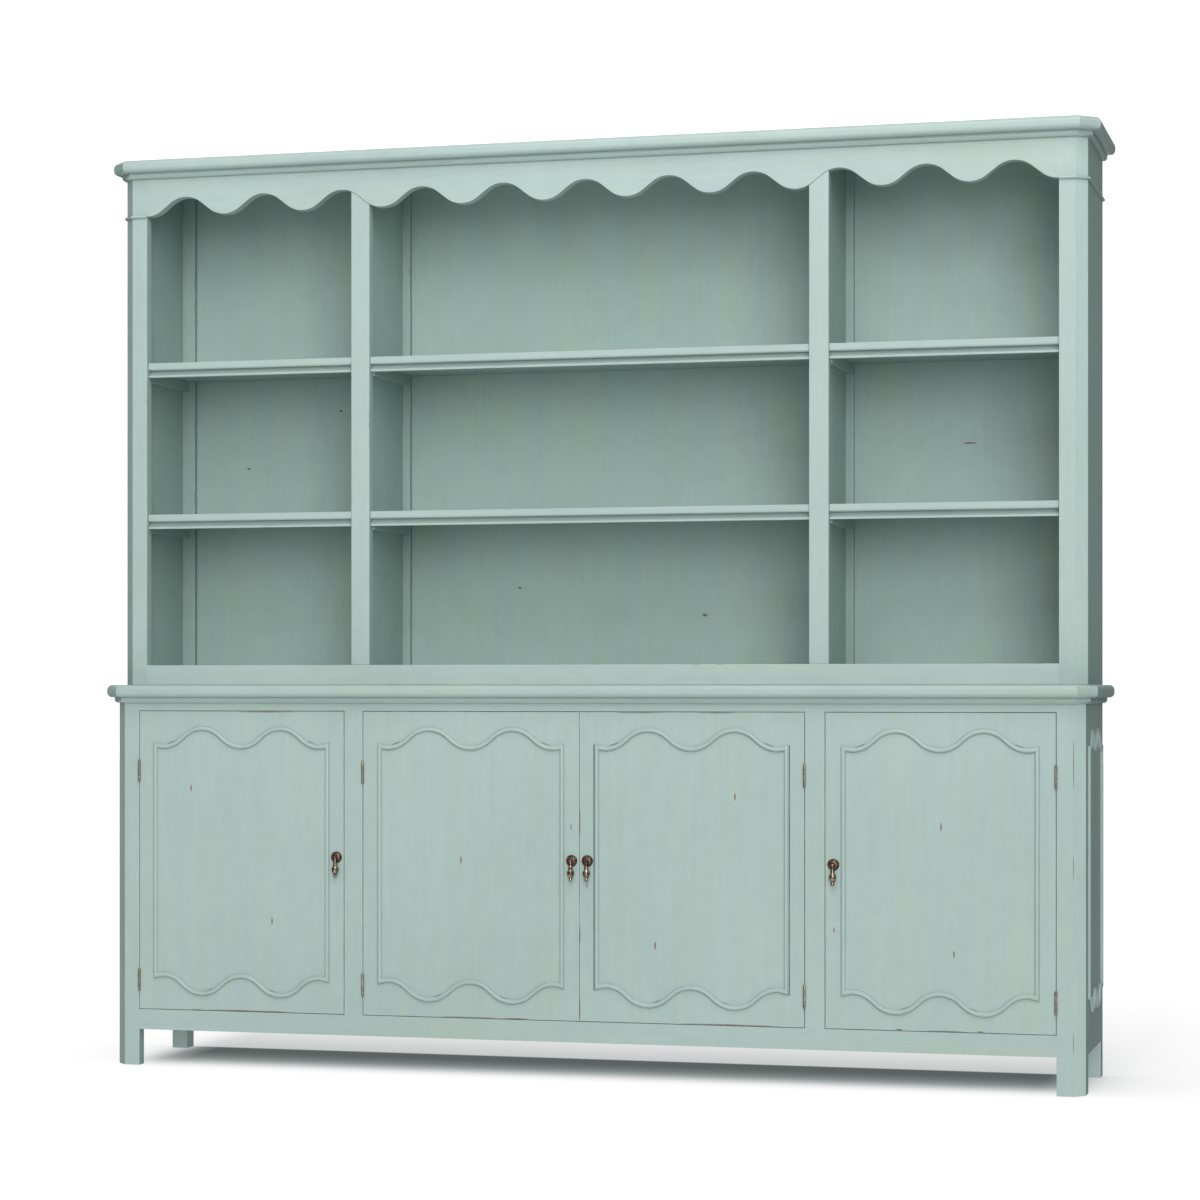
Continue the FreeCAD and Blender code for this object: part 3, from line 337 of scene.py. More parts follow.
# %% [markdown]
# ## The plane and the sandpaper
#
# CAD meshes come as loose triangles, so a copy is merged first and its flat faces are made
# whole again. A Bevel modifier then eases the edges and gives the new narrow faces the
# rubbed paint, its second material. Each edge carries a weight, and the bevel only takes
# those that weigh one. Smooth shading would bend the look of the flat faces beside a
# bevel, so the normals are weighted by area afterwards.

# %% Whole faces and eased edges
MERGE_DISTANCE = 0.000002
FLAT_ANGLE = 0.5
SHARP_ANGLE = 32


def edit_mode(selection=None):
    """Opens the active piece's mesh; SELECT or DESELECT goes for all of it."""
    bpy.ops.object.mode_set(mode="EDIT")
    if selection:
        bpy.ops.mesh.select_all(action=selection)


def object_mode():
    """Closes the mesh again, which also writes it back."""
    bpy.ops.object.mode_set(mode="OBJECT")


def pick(piece):
    """Makes one piece the only selected one, and the active one."""
    if bpy.context.object and bpy.context.object.mode != "OBJECT":
        object_mode()
    bpy.ops.object.select_all(action="DESELECT")
    piece.select_set(True)
    bpy.context.view_layer.objects.active = piece


def smooth(piece, degrees=30):
    """Shades the piece smooth, apart from edges sharper than that."""
    pick(piece)
    bpy.ops.object.shade_smooth_by_angle(angle=math.radians(degrees))


def whole_copy(node, name):
    """A copy of a CAD node's mesh with its triangles merged into whole faces."""
    piece = bpy.data.objects.new(name, frame["nodes"][node].data.copy())
    bpy.context.collection.objects.link(piece)
    piece.data.materials.clear()
    pick(piece)
    edit_mode("SELECT")
    bpy.ops.mesh.select_mode(type="VERT")
    bpy.ops.mesh.remove_doubles(threshold=MERGE_DISTANCE)
    bpy.ops.mesh.dissolve_limited(angle_limit=math.radians(FLAT_ANGLE))
    bpy.ops.mesh.select_mode(type="EDGE")
    bpy.ops.mesh.select_all(action="DESELECT")
    bpy.ops.mesh.select_non_manifold(
        extend=False, use_wire=False, use_boundary=False, use_multi_face=True, use_verts=False
    )
    bpy.ops.mesh.edge_split(type="EDGE")
    object_mode()
    return piece


def divide(piece, places, axis):
    """Cuts every face along planes square to the axis, so that its edges end there."""
    normal = [float(number == axis) for number in range(3)]
    pick(piece)
    edit_mode()
    for place in places:
        bpy.ops.mesh.select_all(action="SELECT")
        point = [place * part for part in normal]
        bpy.ops.mesh.bisect(plane_co=point, plane_no=normal)
    object_mode()


def ease(piece, width, eased_edge, segments=2):
    """Rounds the sharp edges that the test passes; the new faces take the second material."""
    pick(piece)
    edit_mode("DESELECT")
    bpy.ops.mesh.select_mode(type="EDGE")
    bpy.ops.mesh.edges_select_sharp(sharpness=math.radians(SHARP_ANGLE))
    object_mode()
    mesh = piece.data
    weights = mesh.attributes.new("bevel_weight_edge", "FLOAT", "EDGE")
    for edge in mesh.edges:
        first, second = (mesh.vertices[end].co for end in edge.vertices)
        weights.data[edge.index].value = float(edge.select and eased_edge((first + second) / 2))
    bevel = piece.modifiers.new("eased edges", "BEVEL")
    bevel.width = width
    bevel.segments = segments
    bevel.limit_method = "WEIGHT"
    bevel.material = 1
    bevel.use_clamp_overlap = True
    bpy.ops.object.modifier_apply(modifier=bevel.name)
    smooth(piece)
    flat_faces = piece.modifiers.new("flat faces stay flat", "WEIGHTED_NORMAL")
    flat_faces.keep_sharp = True
    bpy.ops.object.modifier_apply(modifier=flat_faces.name)


def every_edge(middle):
    """The test for a piece whose sharp edges are all eased."""
    return True


def bevel_edges(piece, chosen, width, segments, profile=0.5):
    """Bevels the edges whose two ends both pass the test."""
    pick(piece)
    edit_mode("DESELECT")
    bpy.ops.mesh.select_mode(type="EDGE")
    object_mode()
    for edge in piece.data.edges:
        edge.select = all(chosen(piece.data.vertices[end].co) for end in edge.vertices)
    edit_mode()
    bpy.ops.mesh.bevel(offset=width, segments=segments, profile=profile, affect="EDGES")
    object_mode()


# %% [markdown]
# ## The boards
#
# Every board is copied, painted and eased, and replaces its CAD node. The shelves' lower
# front edge is planed round, so they look thinner. The canted faces on the right take the
# lighter tint, a painted light that stands for the light they catch.

# %% Ease the boards
BOARD_EASE = 0.0012
FINE_EASE = 0.0004
SHELF_ROUND = 0.005
CANT_NORMAL = 0.6


def open_edge(middle):
    """False where two boards of the face frame meet flush and the joint is painted over."""
    x, z = abs(middle.x), middle.z
    if middle.y > FRAME_BACK:
        return True
    if abs(x - POST_INNER) < NEAR and any(low < z < high for low, high in RAIL_LEVELS):
        return False
    at_rail = abs(z - OPENING_BOTTOM) < NEAR or abs(z - OPENING_TOP) < NEAR
    return not (at_rail and MULLION_INNER - NEAR < x < MULLION_OUTER + NEAR)


def coat(piece, *materials):
    """Gives a piece these materials, and all its faces the first."""
    for material in materials:
        piece.data.materials.append(material)
    for face in piece.data.polygons:
        face.material_index = 0


def board_paint(node, grain):
    """A board's paint: painted bounce light on the sill rail, painted corner shade on the battens,
    greener painted bounce light inside.
    """
    # The sill rail takes painted bounce light, lighter than the other boards.
    if node == "hutch_bottom_rail":
        return painted_sill_bounce_paint
    # The battens take painted shade, darker like the shaded back corners of the rack.
    if node == "hutch_back_battens":
        return painted_corner_shade_paint
    return painted_bounce_paints[grain] if node in INNER_NODES else paints[grain]


def eased_board(node, grain, width):
    """The painted copy of a board that replaces its CAD node."""
    piece = whole_copy(node, node + "_eased")
    axis, places = SEAMS.get(node, (0, ()))
    divide(piece, places, axis)
    coat(piece, board_paint(node, grain), rubbed[grain])
    if node.startswith("hutch_shelves"):
        round_shelf(piece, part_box(node)[0])
    ease(piece, width, open_edge)
    # Painted light: the right-hand canted faces get the lighter paint.
    if node in CANTED_NODES:
        piece.data.materials.append(painted_light_paint)
        for face in piece.data.polygons:
            canted = face.normal.x > CANT_NORMAL and face.normal.y < -CANT_NORMAL
            if canted and face.material_index == 0:
                face.material_index = 2
    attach(piece, body_of_node[node])
    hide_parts(node)
    return piece


def round_shelf(piece, low):
    """Planes a quarter round along a shelf's lower front edge."""
    bevel_edges(
        piece, lambda spot: spot.y < low.y + NEAR and spot.z < low.z + NEAR, SHELF_ROUND, 6
    )


eased = {}
for grain, node_names in EASED_NODES.items():
    for node in node_names:
        width = FINE_EASE if node in FINE_NODES else BOARD_EASE
        eased[node] = eased_board(node, grain, width)
print("eased boards:", len(eased))

# %% [markdown]
# ## Flat boards that need no easing
#
# The back panels and door panels have their edges hidden, so the CAD solids stay and
# only get the paint.

# %% Paint the hidden-edge boards


def dress(node, material):
    """Gives a CAD node one material all over."""
    mesh = frame["nodes"][node].data
    mesh.materials.clear()
    mesh.materials.append(material)


for node in ("base_back_panel", "hutch_back_panel", "base_side_panels"):
    dress(node, board_paint(node, "upright"))
for number in range(1, 5):
    dress("door_%d_panel" % number, paints["upright"])

# %% [markdown]
# ## Door frames
#
# On the real doors the paint runs over the joints of stiles and rails, and no seam shows.
# Only the rim of each door is eased, and it is rubbed through more than the boards are,
# because hands and the frame wear it every day. Coats of paint also build up there: the
# rim grows by 0.8 mm, which leaves the gap round the door no more than a hairline.

# %% Door frames
PAINT_BUILD = 0.0008
RIM_EASE = 0.0005


def door_frame(number):
    """The painted copy of a door's frame, its rim grown by the paint's build-up."""
    node = "door_%d_frame" % number
    piece = whole_copy(node, node + "_eased")
    low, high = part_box(node)
    coat(piece, paints["upright"], worn_rim)

    def rim(middle):
        """An edge of the whole door lies on two sides of its box."""
        sides = [
            abs(middle[axis] - corner[axis]) < NEAR for axis in range(3) for corner in (low, high)
        ]
        return sum(sides) >= 2

    middle = [(near + far) / 2 for near, far in zip(low, high)]
    grown = [1 + 2 * PAINT_BUILD / (far - near) for near, far in zip(low, high)]
    pick(piece)
    edit_mode("SELECT")
    bpy.ops.transform.resize(value=(grown[0], 1, grown[2]), center_override=middle)
    object_mode()
    low = [near - PAINT_BUILD * (axis != 1) for axis, near in enumerate(low)]
    high = [far + PAINT_BUILD * (axis != 1) for axis, far in enumerate(high)]
    ease(piece, RIM_EASE, rim)
    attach(piece, "door_%d" % number)
    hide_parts(node)
    return piece


door_frames = [door_frame(number) for number in range(1, 5)]
print("door frames:", len(door_frames))

# %% [markdown]
# ## The scalloped mouldings
#
# A bead is bent to a wave at the top and the bottom of every panel and runs straight up
# both sides. Its profile is a half-round with a thin foot on either side, darkened by glaze
# and painted shade; along the waves the lower foot is darker still, a painted shadow under
# the bead.
# It is built as a moulding is run: one closed line of points for every step of the
# profile, from the outer foot over the bead to the inner foot, each bridged to the next.
# Lines kept at an even distance stay smooth where a bent profile would pinch. The wave is
# made of arcs joined by short straight slopes, and ends in a small flick at each side.

# %% Loops of points, bridged
STACK_STEP = 0.01


def select_points(piece, *spans):
    """Goes to edit mode with just these spans of the mesh's points selected."""
    object_mode()
    for vertex in piece.data.vertices:
        vertex.select = any(first <= vertex.index < last for first, last in spans)
    for edge in piece.data.edges:
        edge.select = any(
            all(first <= point < last for point in edge.vertices) for first, last in spans
        )
    for face in piece.data.polygons:
        face.select = False
    edit_mode()


def bridged(name, loops, ring=False):
    """One circle of points per loop, each bridged to the next; the ends closed or joined.

    The circles are bridged as a plain stack, where point always meets point, and only then
    is each moved to its loop.
    """
    count = len(loops[0])
    bpy.ops.object.select_all(action="DESELECT")
    bpy.ops.mesh.primitive_circle_add(vertices=count, radius=STACK_STEP)
    piece = bpy.context.active_object
    piece.name = name
    edit_mode()
    bpy.ops.mesh.select_mode(type="VERT")
    for number in range(1, len(loops)):
        bpy.ops.mesh.primitive_circle_add(
            vertices=count, radius=STACK_STEP, location=(0, 0, number * STACK_STEP)
        )
    bpy.ops.mesh.select_mode(type="EDGE")
    for number in range(len(loops) - 1):
        select_points(piece, (number * count, (number + 2) * count))
        bpy.ops.mesh.bridge_edge_loops()
    ends = [(first, first + count) for first in (0, (len(loops) - 1) * count)]
    if ring:
        select_points(piece, *ends)
        bpy.ops.mesh.bridge_edge_loops()
    else:
        for end in ends:
            select_points(piece, end)
            bpy.ops.mesh.edge_face_add()
    object_mode()
    for number, loop in enumerate(loops):
        for spot, point in enumerate(loop):
            piece.data.vertices[number * count + spot].co = point
    edit_mode("SELECT")
    bpy.ops.mesh.normals_make_consistent(inside=False)
    object_mode()
    return piece


# %% The wavy line
RISE = 0.044
SHOULDER_FLAT = 0.020
LOW_SHOULDER = 0.2215
HIGH_SHOULDER = 0.773
FLICK_RADIUS = 0.06
DOOR_SLOPE = 0.873
SIDE_SLOPE = 0.744
ARC_STEPS = 7
SAME_POINT = 1e-5


def scallop_line(half, slope_share, spread):
    """Points round a panel's moulding, that far outside its middle line.

    The slope share says how steep the wave is beside one that is drawn with arcs alone.
    """
    pitch = half - SHOULDER_FLAT
    slope = 2 * math.atan(2 * RISE / pitch) * slope_share
    across, along = pitch / 4, RISE / 2
    radius = (across * math.sin(slope) - along * math.cos(slope)) / (1 - math.cos(slope))
    points = [(half + spread, spread + (SHOULDER_FLAT + spread) ** 2 / (2 * FLICK_RADIUS))]
    for crest in (pitch / 2, -pitch / 2):
        for side, hollow in ((1, crest + pitch / 2), (-1, crest - pitch / 2)):
            turns = [slope * step / ARC_STEPS for step in range(ARC_STEPS + 1)]
            in_hollow = [
                (hollow - side * (radius - spread) * math.sin(turn),
                 radius - (radius - spread) * math.cos(turn)) for turn in turns
            ]
            on_hump = [
                (crest + side * (radius + spread) * math.sin(turn),
                 RISE - radius + (radius + spread) * math.cos(turn)) for turn in turns
            ]
            points += in_hollow + on_hump[::-1] if side > 0 else on_hump[1:] + in_hollow[::-1]
    points.append((-points[0][0], points[0][1]))
    top = [(x, HIGH_SHOULDER + z) for x, z in points]
    bottom = [(-x, LOW_SHOULDER - z) for x, z in points]
    line = []
    for x, z in top + bottom:
        if not line or abs(x - line[-1][0]) + abs(z - line[-1][1]) > SAME_POINT:
            line.append((x, z))
    return line


print("points round a moulding:", len(scallop_line(0.225, DOOR_SLOPE, 0)))

# %% Glaze and painted shade at the foot of a moulding
GLAZE_AND_SHADE_DARK = (0.040, 0.065, 0.056, 1)
GLAZE_AND_SHADE_NOISE, GLAZE_AND_SHADE_RANGE = (9, 4, 0.6), (0.35, 0.65)
PROFILE = (
    (0.0060, 0.0), (0.0060, 0.0004), (0.0050, 0.0006), (0.0047, 0.0024), (0.0038, 0.0043),
    (0.0022, 0.0056), (0.0008, 0.0060), (-0.0008, 0.0060), (-0.0022, 0.0056),
    (-0.0038, 0.0043), (-0.0047, 0.0024), (-0.0050, 0.0006), (-0.0060, 0.0004),
    (-0.0060, 0.0),
)
PROFILE_HALF = 0.006
BLANK_HALF = 0.008
OUTER_FOOT = 1
INNER_FOOT = len(PROFILE) - 3
UPRIGHT_REACH = 0.007
MIDDLE_LEVEL = (LOW_SHOULDER + HIGH_SHOULDER) / 2
MOULDING_ANGLE = 45
DOOR_FACE = -0.184
SIDE_FACE = 1.171


def glaze_and_shade_paint(grain, low, high):
    """Paint darkened towards a dark glaze colour, used for glaze and for painted shade, between
    these two amounts.
    """
    material, tree, shader = new_material("glaze_%s_%d" % (grain, round(high * 100)))
    amount = remap(tree, noise(tree, *GLAZE_AND_SHADE_NOISE), *GLAZE_AND_SHADE_RANGE, low, high)
    glazed = blend_colours(tree, amount, paint_colour(tree, grain), GLAZE_AND_SHADE_DARK)
    surface(tree, shader, glazed, DRY_ROUGHNESS)
    return material


# The feet get glaze with a little painted shade, the lower foot of each wave a stronger painted
# shadow under the bead, and the third door's lines plain glaze.
foot_glaze_and_shade = glaze_and_shade_paint("across", 0.05, 0.25)
painted_bead_shade = glaze_and_shade_paint("across", 0.45, 0.80)
deep_glaze = glaze_and_shade_paint("upright", 0.80, 1.0)


def moulding(name, half, slope_share):
    """A moulding that lies on the plane Y = 0 with its middle line round X = 0."""
    loops = [
        [(x, -height, z) for x, z in scallop_line(half, slope_share, spread)]
        for spread, height in PROFILE
    ]
    return bridged(name, loops, ring=True)


def finish_moulding(piece, half):
    """Gives each face its paint by its step of the profile and its place on the panel."""
    coat(piece, paints["across"], paints["upright"], foot_glaze_and_shade, painted_bead_shade)
    around = len(piece.data.vertices) // len(PROFILE)
    for face in piece.data.polygons:
        step = min(point // around for point in face.vertices)
        beside = abs(abs(face.center.x) - half) < UPRIGHT_REACH
        upright = beside and LOW_SHOULDER < face.center.z < HIGH_SHOULDER
        # Along the waves the foot on the lower side gets the painted shadow under the bead; every
        # other foot gets glaze and light painted shade.
        lower_foot = INNER_FOOT if face.center.z > MIDDLE_LEVEL else OUTER_FOOT
        if step in (OUTER_FOOT, INNER_FOOT):
            face.material_index = 3 if step == lower_foot and not upright else 2
        else:
            face.material_index = 1 if upright else 0
    smooth(piece, MOULDING_ANGLE)


def place_mesh(piece, offset, turn=0.0):
    """Turns a piece about Z and moves it, in its mesh, with the object left at the origin."""
    pick(piece)
    edit_mode("SELECT")
    if turn:
        bpy.ops.transform.rotate(value=turn, orient_axis="Z", center_override=(0, 0, 0))
    bpy.ops.transform.translate(value=offset)
    object_mode()


def bead(name, half, slope_share, offset, turn=0.0):
    """A painted moulding at its place on a door or a side."""
    piece = moulding(name, half, slope_share)
    finish_moulding(piece, half)
    place_mesh(piece, offset, turn)
    print(name, "half width", round(half * 1000, 1), "mm,", len(piece.data.polygons), "faces")
    return piece


for number in range(1, 5):
    low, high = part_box("door_%d_moulding" % number)
    half = (high.x - low.x) / 2 - BLANK_HALF
    place = ((low.x + high.x) / 2, DOOR_FACE, 0)
    piece = bead("door_%d_bead" % number, half, DOOR_SLOPE, place)
    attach(piece, "door_%d" % number)
    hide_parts("door_%d_moulding" % number)

side_low, side_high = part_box("base_side_mouldings")
side_half = (side_high.y - side_low.y) / 2 - BLANK_HALF
side_middle = (side_high.y + side_low.y) / 2
for hand, sign in (("left", -1), ("right", 1)):
    place = (sign * SIDE_FACE, side_middle, 0)
    piece = bead("side_bead_" + hand, side_half, SIDE_SLOPE, place, -sign * math.radians(90))
    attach(piece, "cabinet")
    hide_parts("base_side_mouldings")

# %% [markdown]
# ## Cove strips under the shelves
#
# Under each shelf's front edge runs a strip with a hollow face. A long box is added at
# its size, and the edge at its upper front is bevelled with a profile below a quarter,
# which makes the cut hollow instead of round.

# %% Cove strips
BAYS = (
    ("left", -POST_INNER, -MULLION_OUTER), ("middle", -MULLION_INNER, MULLION_INNER),
    ("right", MULLION_OUTER, POST_INNER),
)
NOSING_HEIGHT = 0.017
COVE_WIDTH = 0.0125
COVE_STEPS = 7
HOLLOW_PROFILE = 0.1
COVE_EASE = 0.0006


def box_piece(name, low, high):
    """A box primitive at its size and place, with the place in its mesh."""
    bpy.ops.object.select_all(action="DESELECT")
    middle = [(a + b) / 2 for a, b in zip(low, high)]
    bpy.ops.mesh.primitive_cube_add(size=1, location=middle)
    piece = bpy.context.active_object
    piece.name = name
    piece.scale = [b - a for a, b in zip(low, high)]
    bpy.ops.object.transform_apply(location=True, rotation=True, scale=True)
    return piece


nosing_low, nosing_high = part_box("hutch_shelf_nosings")
coves = []
for tier in ("lower", "upper"):
    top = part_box("hutch_shelves_" + tier)[0].z
    for bay, left, right in BAYS:
        cove = box_piece(
            "cove_%s_%s" % (tier, bay),
            (left, nosing_low.y, top - NOSING_HEIGHT), (right, nosing_high.y, top),
        )
        bevel_edges(
            cove, lambda spot: spot.y < nosing_low.y + NEAR and spot.z > top - NEAR,
            COVE_WIDTH, COVE_STEPS, HOLLOW_PROFILE,
        )
        coat(cove, paints["across"], rubbed["across"])
        ease(cove, COVE_EASE, every_edge, 1)
        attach(cove, "cabinet")
        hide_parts("hutch_shelf_nosings")
        coves.append(cove)
print("cove strips:", len(coves))

# %% [markdown]
# ## Dark lines on the third door
#
# Only on the third door the glaze was left standing along the outside of both uprights,
# as a dark line about two millimetres wide. It is a skin of glaze on the stile, so it
# is a thin strip with eased edges, and not a groove.

# %% Glaze lines
GLAZE_WIDTH = 0.0022
GLAZE_HEIGHT = 0.0003
GLAZE_EASE = 0.0002
LINE_FOOT = LOW_SHOULDER - 0.012
LINE_TOP = HIGH_SHOULDER + 0.010
ring_low, ring_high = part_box("door_3_moulding")
narrower = BLANK_HALF - PROFILE_HALF
for hand, foot, sign in (("left", ring_low.x + narrower, -1), ("right", ring_high.x - narrower, 1)):
    near, far = sorted((foot - sign * GLAZE_EASE, foot + sign * GLAZE_WIDTH))
    strip = box_piece(
        "glaze_line_" + hand, (near, DOOR_FACE - GLAZE_HEIGHT, LINE_FOOT),
        (far, DOOR_FACE, LINE_TOP),
    )
    bevel_edges(strip, lambda spot: spot.y < DOOR_FACE - NEAR, GLAZE_EASE, 2)
    strip.data.materials.append(deep_glaze)
    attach(strip, "door_3")
print("glaze lines:", round(GLAZE_WIDTH * 1000, 1), "mm wide")

# %% [markdown]
# ## Brass
#
# The pulls are cast brass that has gone dark brown in the hollows and stays bright where
# fingers rub it. The hinges are the same metal, duller and drier.

# %% Brass finishes
SPOT_NOISE, SPOT_RANGE = (160, 4, 0.6), (0.4, 0.68)
GRAIN_NOISE, GRAIN_RANGE = (300, 3), (0.3, 0.7)
PIT_NOISE, PIT_DEPTH, PIT_STRENGTH = (500, 3), 0.0001, 0.4
STEEL_GREY = (0.45, 0.45, 0.44, 1)
STEEL_NOISE, STEEL_LINES = (1, 3, 0.5), (40, 900, 900)
STEEL_ROUGHNESS = (0.25, 0.5)


def brass(name, dark, bright, rough_low, rough_high):
    """Brass that is dark in places and rubbed bright in others."""
    material, tree, shader = new_material(name)
    wear = remap(tree, noise(tree, *SPOT_NOISE), *SPOT_RANGE, 0, 1)
    rough = remap(tree, noise(tree, *GRAIN_NOISE), *GRAIN_RANGE, rough_low, rough_high)
    surface(tree, shader, blend_colours(tree, wear, dark, bright), rough)
    shader.inputs["Metallic"].default_value = 1.0
    add_bump(tree, shader, noise(tree, *PIT_NOISE), PIT_DEPTH, PIT_STRENGTH)
    return material


rosette_brass = brass("dark_brass", (0.048, 0.034, 0.025, 1), (0.18, 0.13, 0.098, 1), 0.40, 0.6)
drop_brass = brass("rubbed_brass", (0.060, 0.046, 0.034, 1), (0.40, 0.33, 0.26, 1), 0.20, 0.36)
hinge_brass = brass("dull_brass", (0.15, 0.14, 0.105, 1), (0.35, 0.33, 0.25, 1), 0.4, 0.6)
steel, steel_tree, steel_shader = new_material("catch_steel")
steel_lines = noise(steel_tree, *STEEL_NOISE, STEEL_LINES)
steel_rough = remap(steel_tree, steel_lines, *GRAIN_RANGE, *STEEL_ROUGHNESS)
surface(steel_tree, steel_shader, STEEL_GREY, steel_rough)
steel_shader.inputs["Metallic"].default_value = 1.0
dress("door_catches", steel)

# %% [markdown]
# ## Hinges
#
# Each butt hinge shows only its barrel: three knuckles on a pin, in front of the gap.
# The barrel is turned, so every knuckle is a stack of circles bridged together, with
# eased rims and a small domed tip at either end. The leaf behind it is a thin plate.

# %% Hinges
SIDES = 20
HINGE_LENGTH = 0.055
HINGE_AXIS_Y = -0.1871
HINGE_BACK = -0.164
HINGE_LEVELS = (0.714, 0.208)
HINGE_PLACES = ((1, -1.107), (2, -0.534), (3, 0.534), (4, 1.107))
KNUCKLE = HINGE_LENGTH / 3
KNUCKLE_RADIUS = 0.003
KNUCKLE_GAP = 0.0002
KNUCKLE_EASE = 0.0004
TIP_HEIGHT = 0.0022
PLATE_NEAR = 0.00015
PLATE_FAR = 0.001
PLATE_SETBACK = 0.0005
HINGE_ANGLE = 40


def turned(name, profile, centre, axis):
    """A turned piece: (radius, place along the axis) pairs, bridged as circles."""
    loops = []
    for radius, along in profile:
        loop = []
        for step in range(SIDES):
            angle = 2 * math.pi * step / SIDES
            across, up = radius * math.cos(angle), radius * math.sin(angle)
            places = {"X": (along, across, up), "Y": (across, along, up), "Z": (across, up, along)}
            loop.append(Vector(centre) + Vector(places[axis]))
        loops.append(loop)
    return bridged(name, loops)


def joined(name, pieces):
    """Several pieces made one mesh."""
    pick(pieces[0])
    for piece in pieces[1:]:
        piece.select_set(True)
    bpy.ops.object.join()
    pieces[0].name = name
    return pieces[0]


def hinge_part(name, x, middle, knuckles, side):
    """The barrel pieces of one half of a hinge, and its plate on that side of the pin."""
    near, far = sorted((x + side * PLATE_NEAR, x + side * PLATE_FAR))
    pieces = []
    for number in knuckles:
        bottom = -HINGE_LENGTH / 2 + KNUCKLE * number + KNUCKLE_GAP
        top = bottom + KNUCKLE - 2 * KNUCKLE_GAP
        r = KNUCKLE_RADIUS
        dome = [(0.0006, 0), (r * 0.6, 0.0003), (r * 0.9, 0.0012), (r, TIP_HEIGHT)]
        rim = [(r - KNUCKLE_EASE, 0), (r, KNUCKLE_EASE)]
        lower_end = dome if number == 0 else rim
        upper_end = dome if number == 2 else rim
        profile = [(radius, bottom + up) for radius, up in lower_end]
        profile += [(radius, top - down) for radius, down in reversed(upper_end)]
        pieces.append(turned("knuckle", profile, (x, HINGE_AXIS_Y, middle), "Z"))
    plate = box_piece(
        "plate",
        (near, HINGE_AXIS_Y + PLATE_SETBACK, middle - HINGE_LENGTH / 2 + KNUCKLE_GAP),
        (far, HINGE_BACK, middle + HINGE_LENGTH / 2 - KNUCKLE_GAP),
    )
    pieces.append(plate)
    piece = joined(name, pieces)
    piece.data.materials.append(hinge_brass)
    smooth(piece, HINGE_ANGLE)
    return piece


for number, x in HINGE_PLACES:
    outward = -1 if number < 3 else 1
    for row, level in enumerate(HINGE_LEVELS):
        frame_part = hinge_part("hinge_frame_%d%d" % (number, row), x, level, (0, 2), outward)
        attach(frame_part, "cabinet")
        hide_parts("hinge_frame_leaves")
        door_part = hinge_part("hinge_door_%d%d" % (number, row), x, level, (1,), -outward)
        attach(door_part, "door_%d" % number)
        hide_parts("door_%d_hinge_leaves" % number)
print("hinges:", len(HINGE_PLACES) * len(HINGE_LEVELS))

# %% [markdown]
# ## Drop pulls
#
# A domed rosette with two ears holds a cross pin, and a slim turned drop swings on it.
# Both are turned shapes, so both are built from circles: the rosette along Y, the drop
# down from its pin. The ears are thin plates with rounded fronts.

# %% Drop pulls
PULL_LEVEL = 0.511
PULL_PLACES = ((1, -0.601), (2, -0.019), (3, 0.019), (4, 0.601))
PIVOT_STAND = 0.0094
EAR_INNER, EAR_OUTER = 0.0022, 0.0038
EAR_HALF = 0.0026
EAR_SINK = 0.0030
EAR_FRONT = 0.0020
EAR_ROUND = 0.0018
ROSETTE_ANGLE, DROP_ANGLE = 35, 50
PIN = ((0.0009, -0.0042), (0.0012, -0.0040), (0.0012, 0.0040), (0.0009, 0.0042))
SHANK = ((0.002, -0.001), (0.002, 0.031))
NUT = ((0.0046, 0.025), (0.0046, 0.0278), (0.0040, 0.0282))
EYE = ((0.0020, -0.0015), (0.0025, -0.0011), (0.0025, 0.0011), (0.0020, 0.0015))
ROSETTE = (
    (0.0140, 0.0), (0.0140, -0.0007), (0.0136, -0.0014), (0.0128, -0.0018), (0.0120, -0.0016),
    (0.0114, -0.0012), (0.0108, -0.0018), (0.0094, -0.0030), (0.0072, -0.0040),
    (0.0045, -0.0046), (0.0015, -0.0048),
)
DROP = (
    (0.0006, 0.0024), (0.0020, 0.0018), (0.0022, -0.0040), (0.0024, -0.0104), (0.0040, -0.0118),
    (0.0050, -0.0136), (0.0052, -0.0160), (0.0047, -0.0186), (0.0046, -0.0204),
    (0.0062, -0.0220), (0.0079, -0.0242), (0.0086, -0.0268), (0.0086, -0.0298),
    (0.0077, -0.0328), (0.0061, -0.0356), (0.0047, -0.0380), (0.0037, -0.0402),
    (0.0034, -0.0416), (0.0040, -0.0427), (0.0041, -0.0442), (0.0034, -0.0457),
    (0.0020, -0.0468), (0.0005, -0.0473),
)
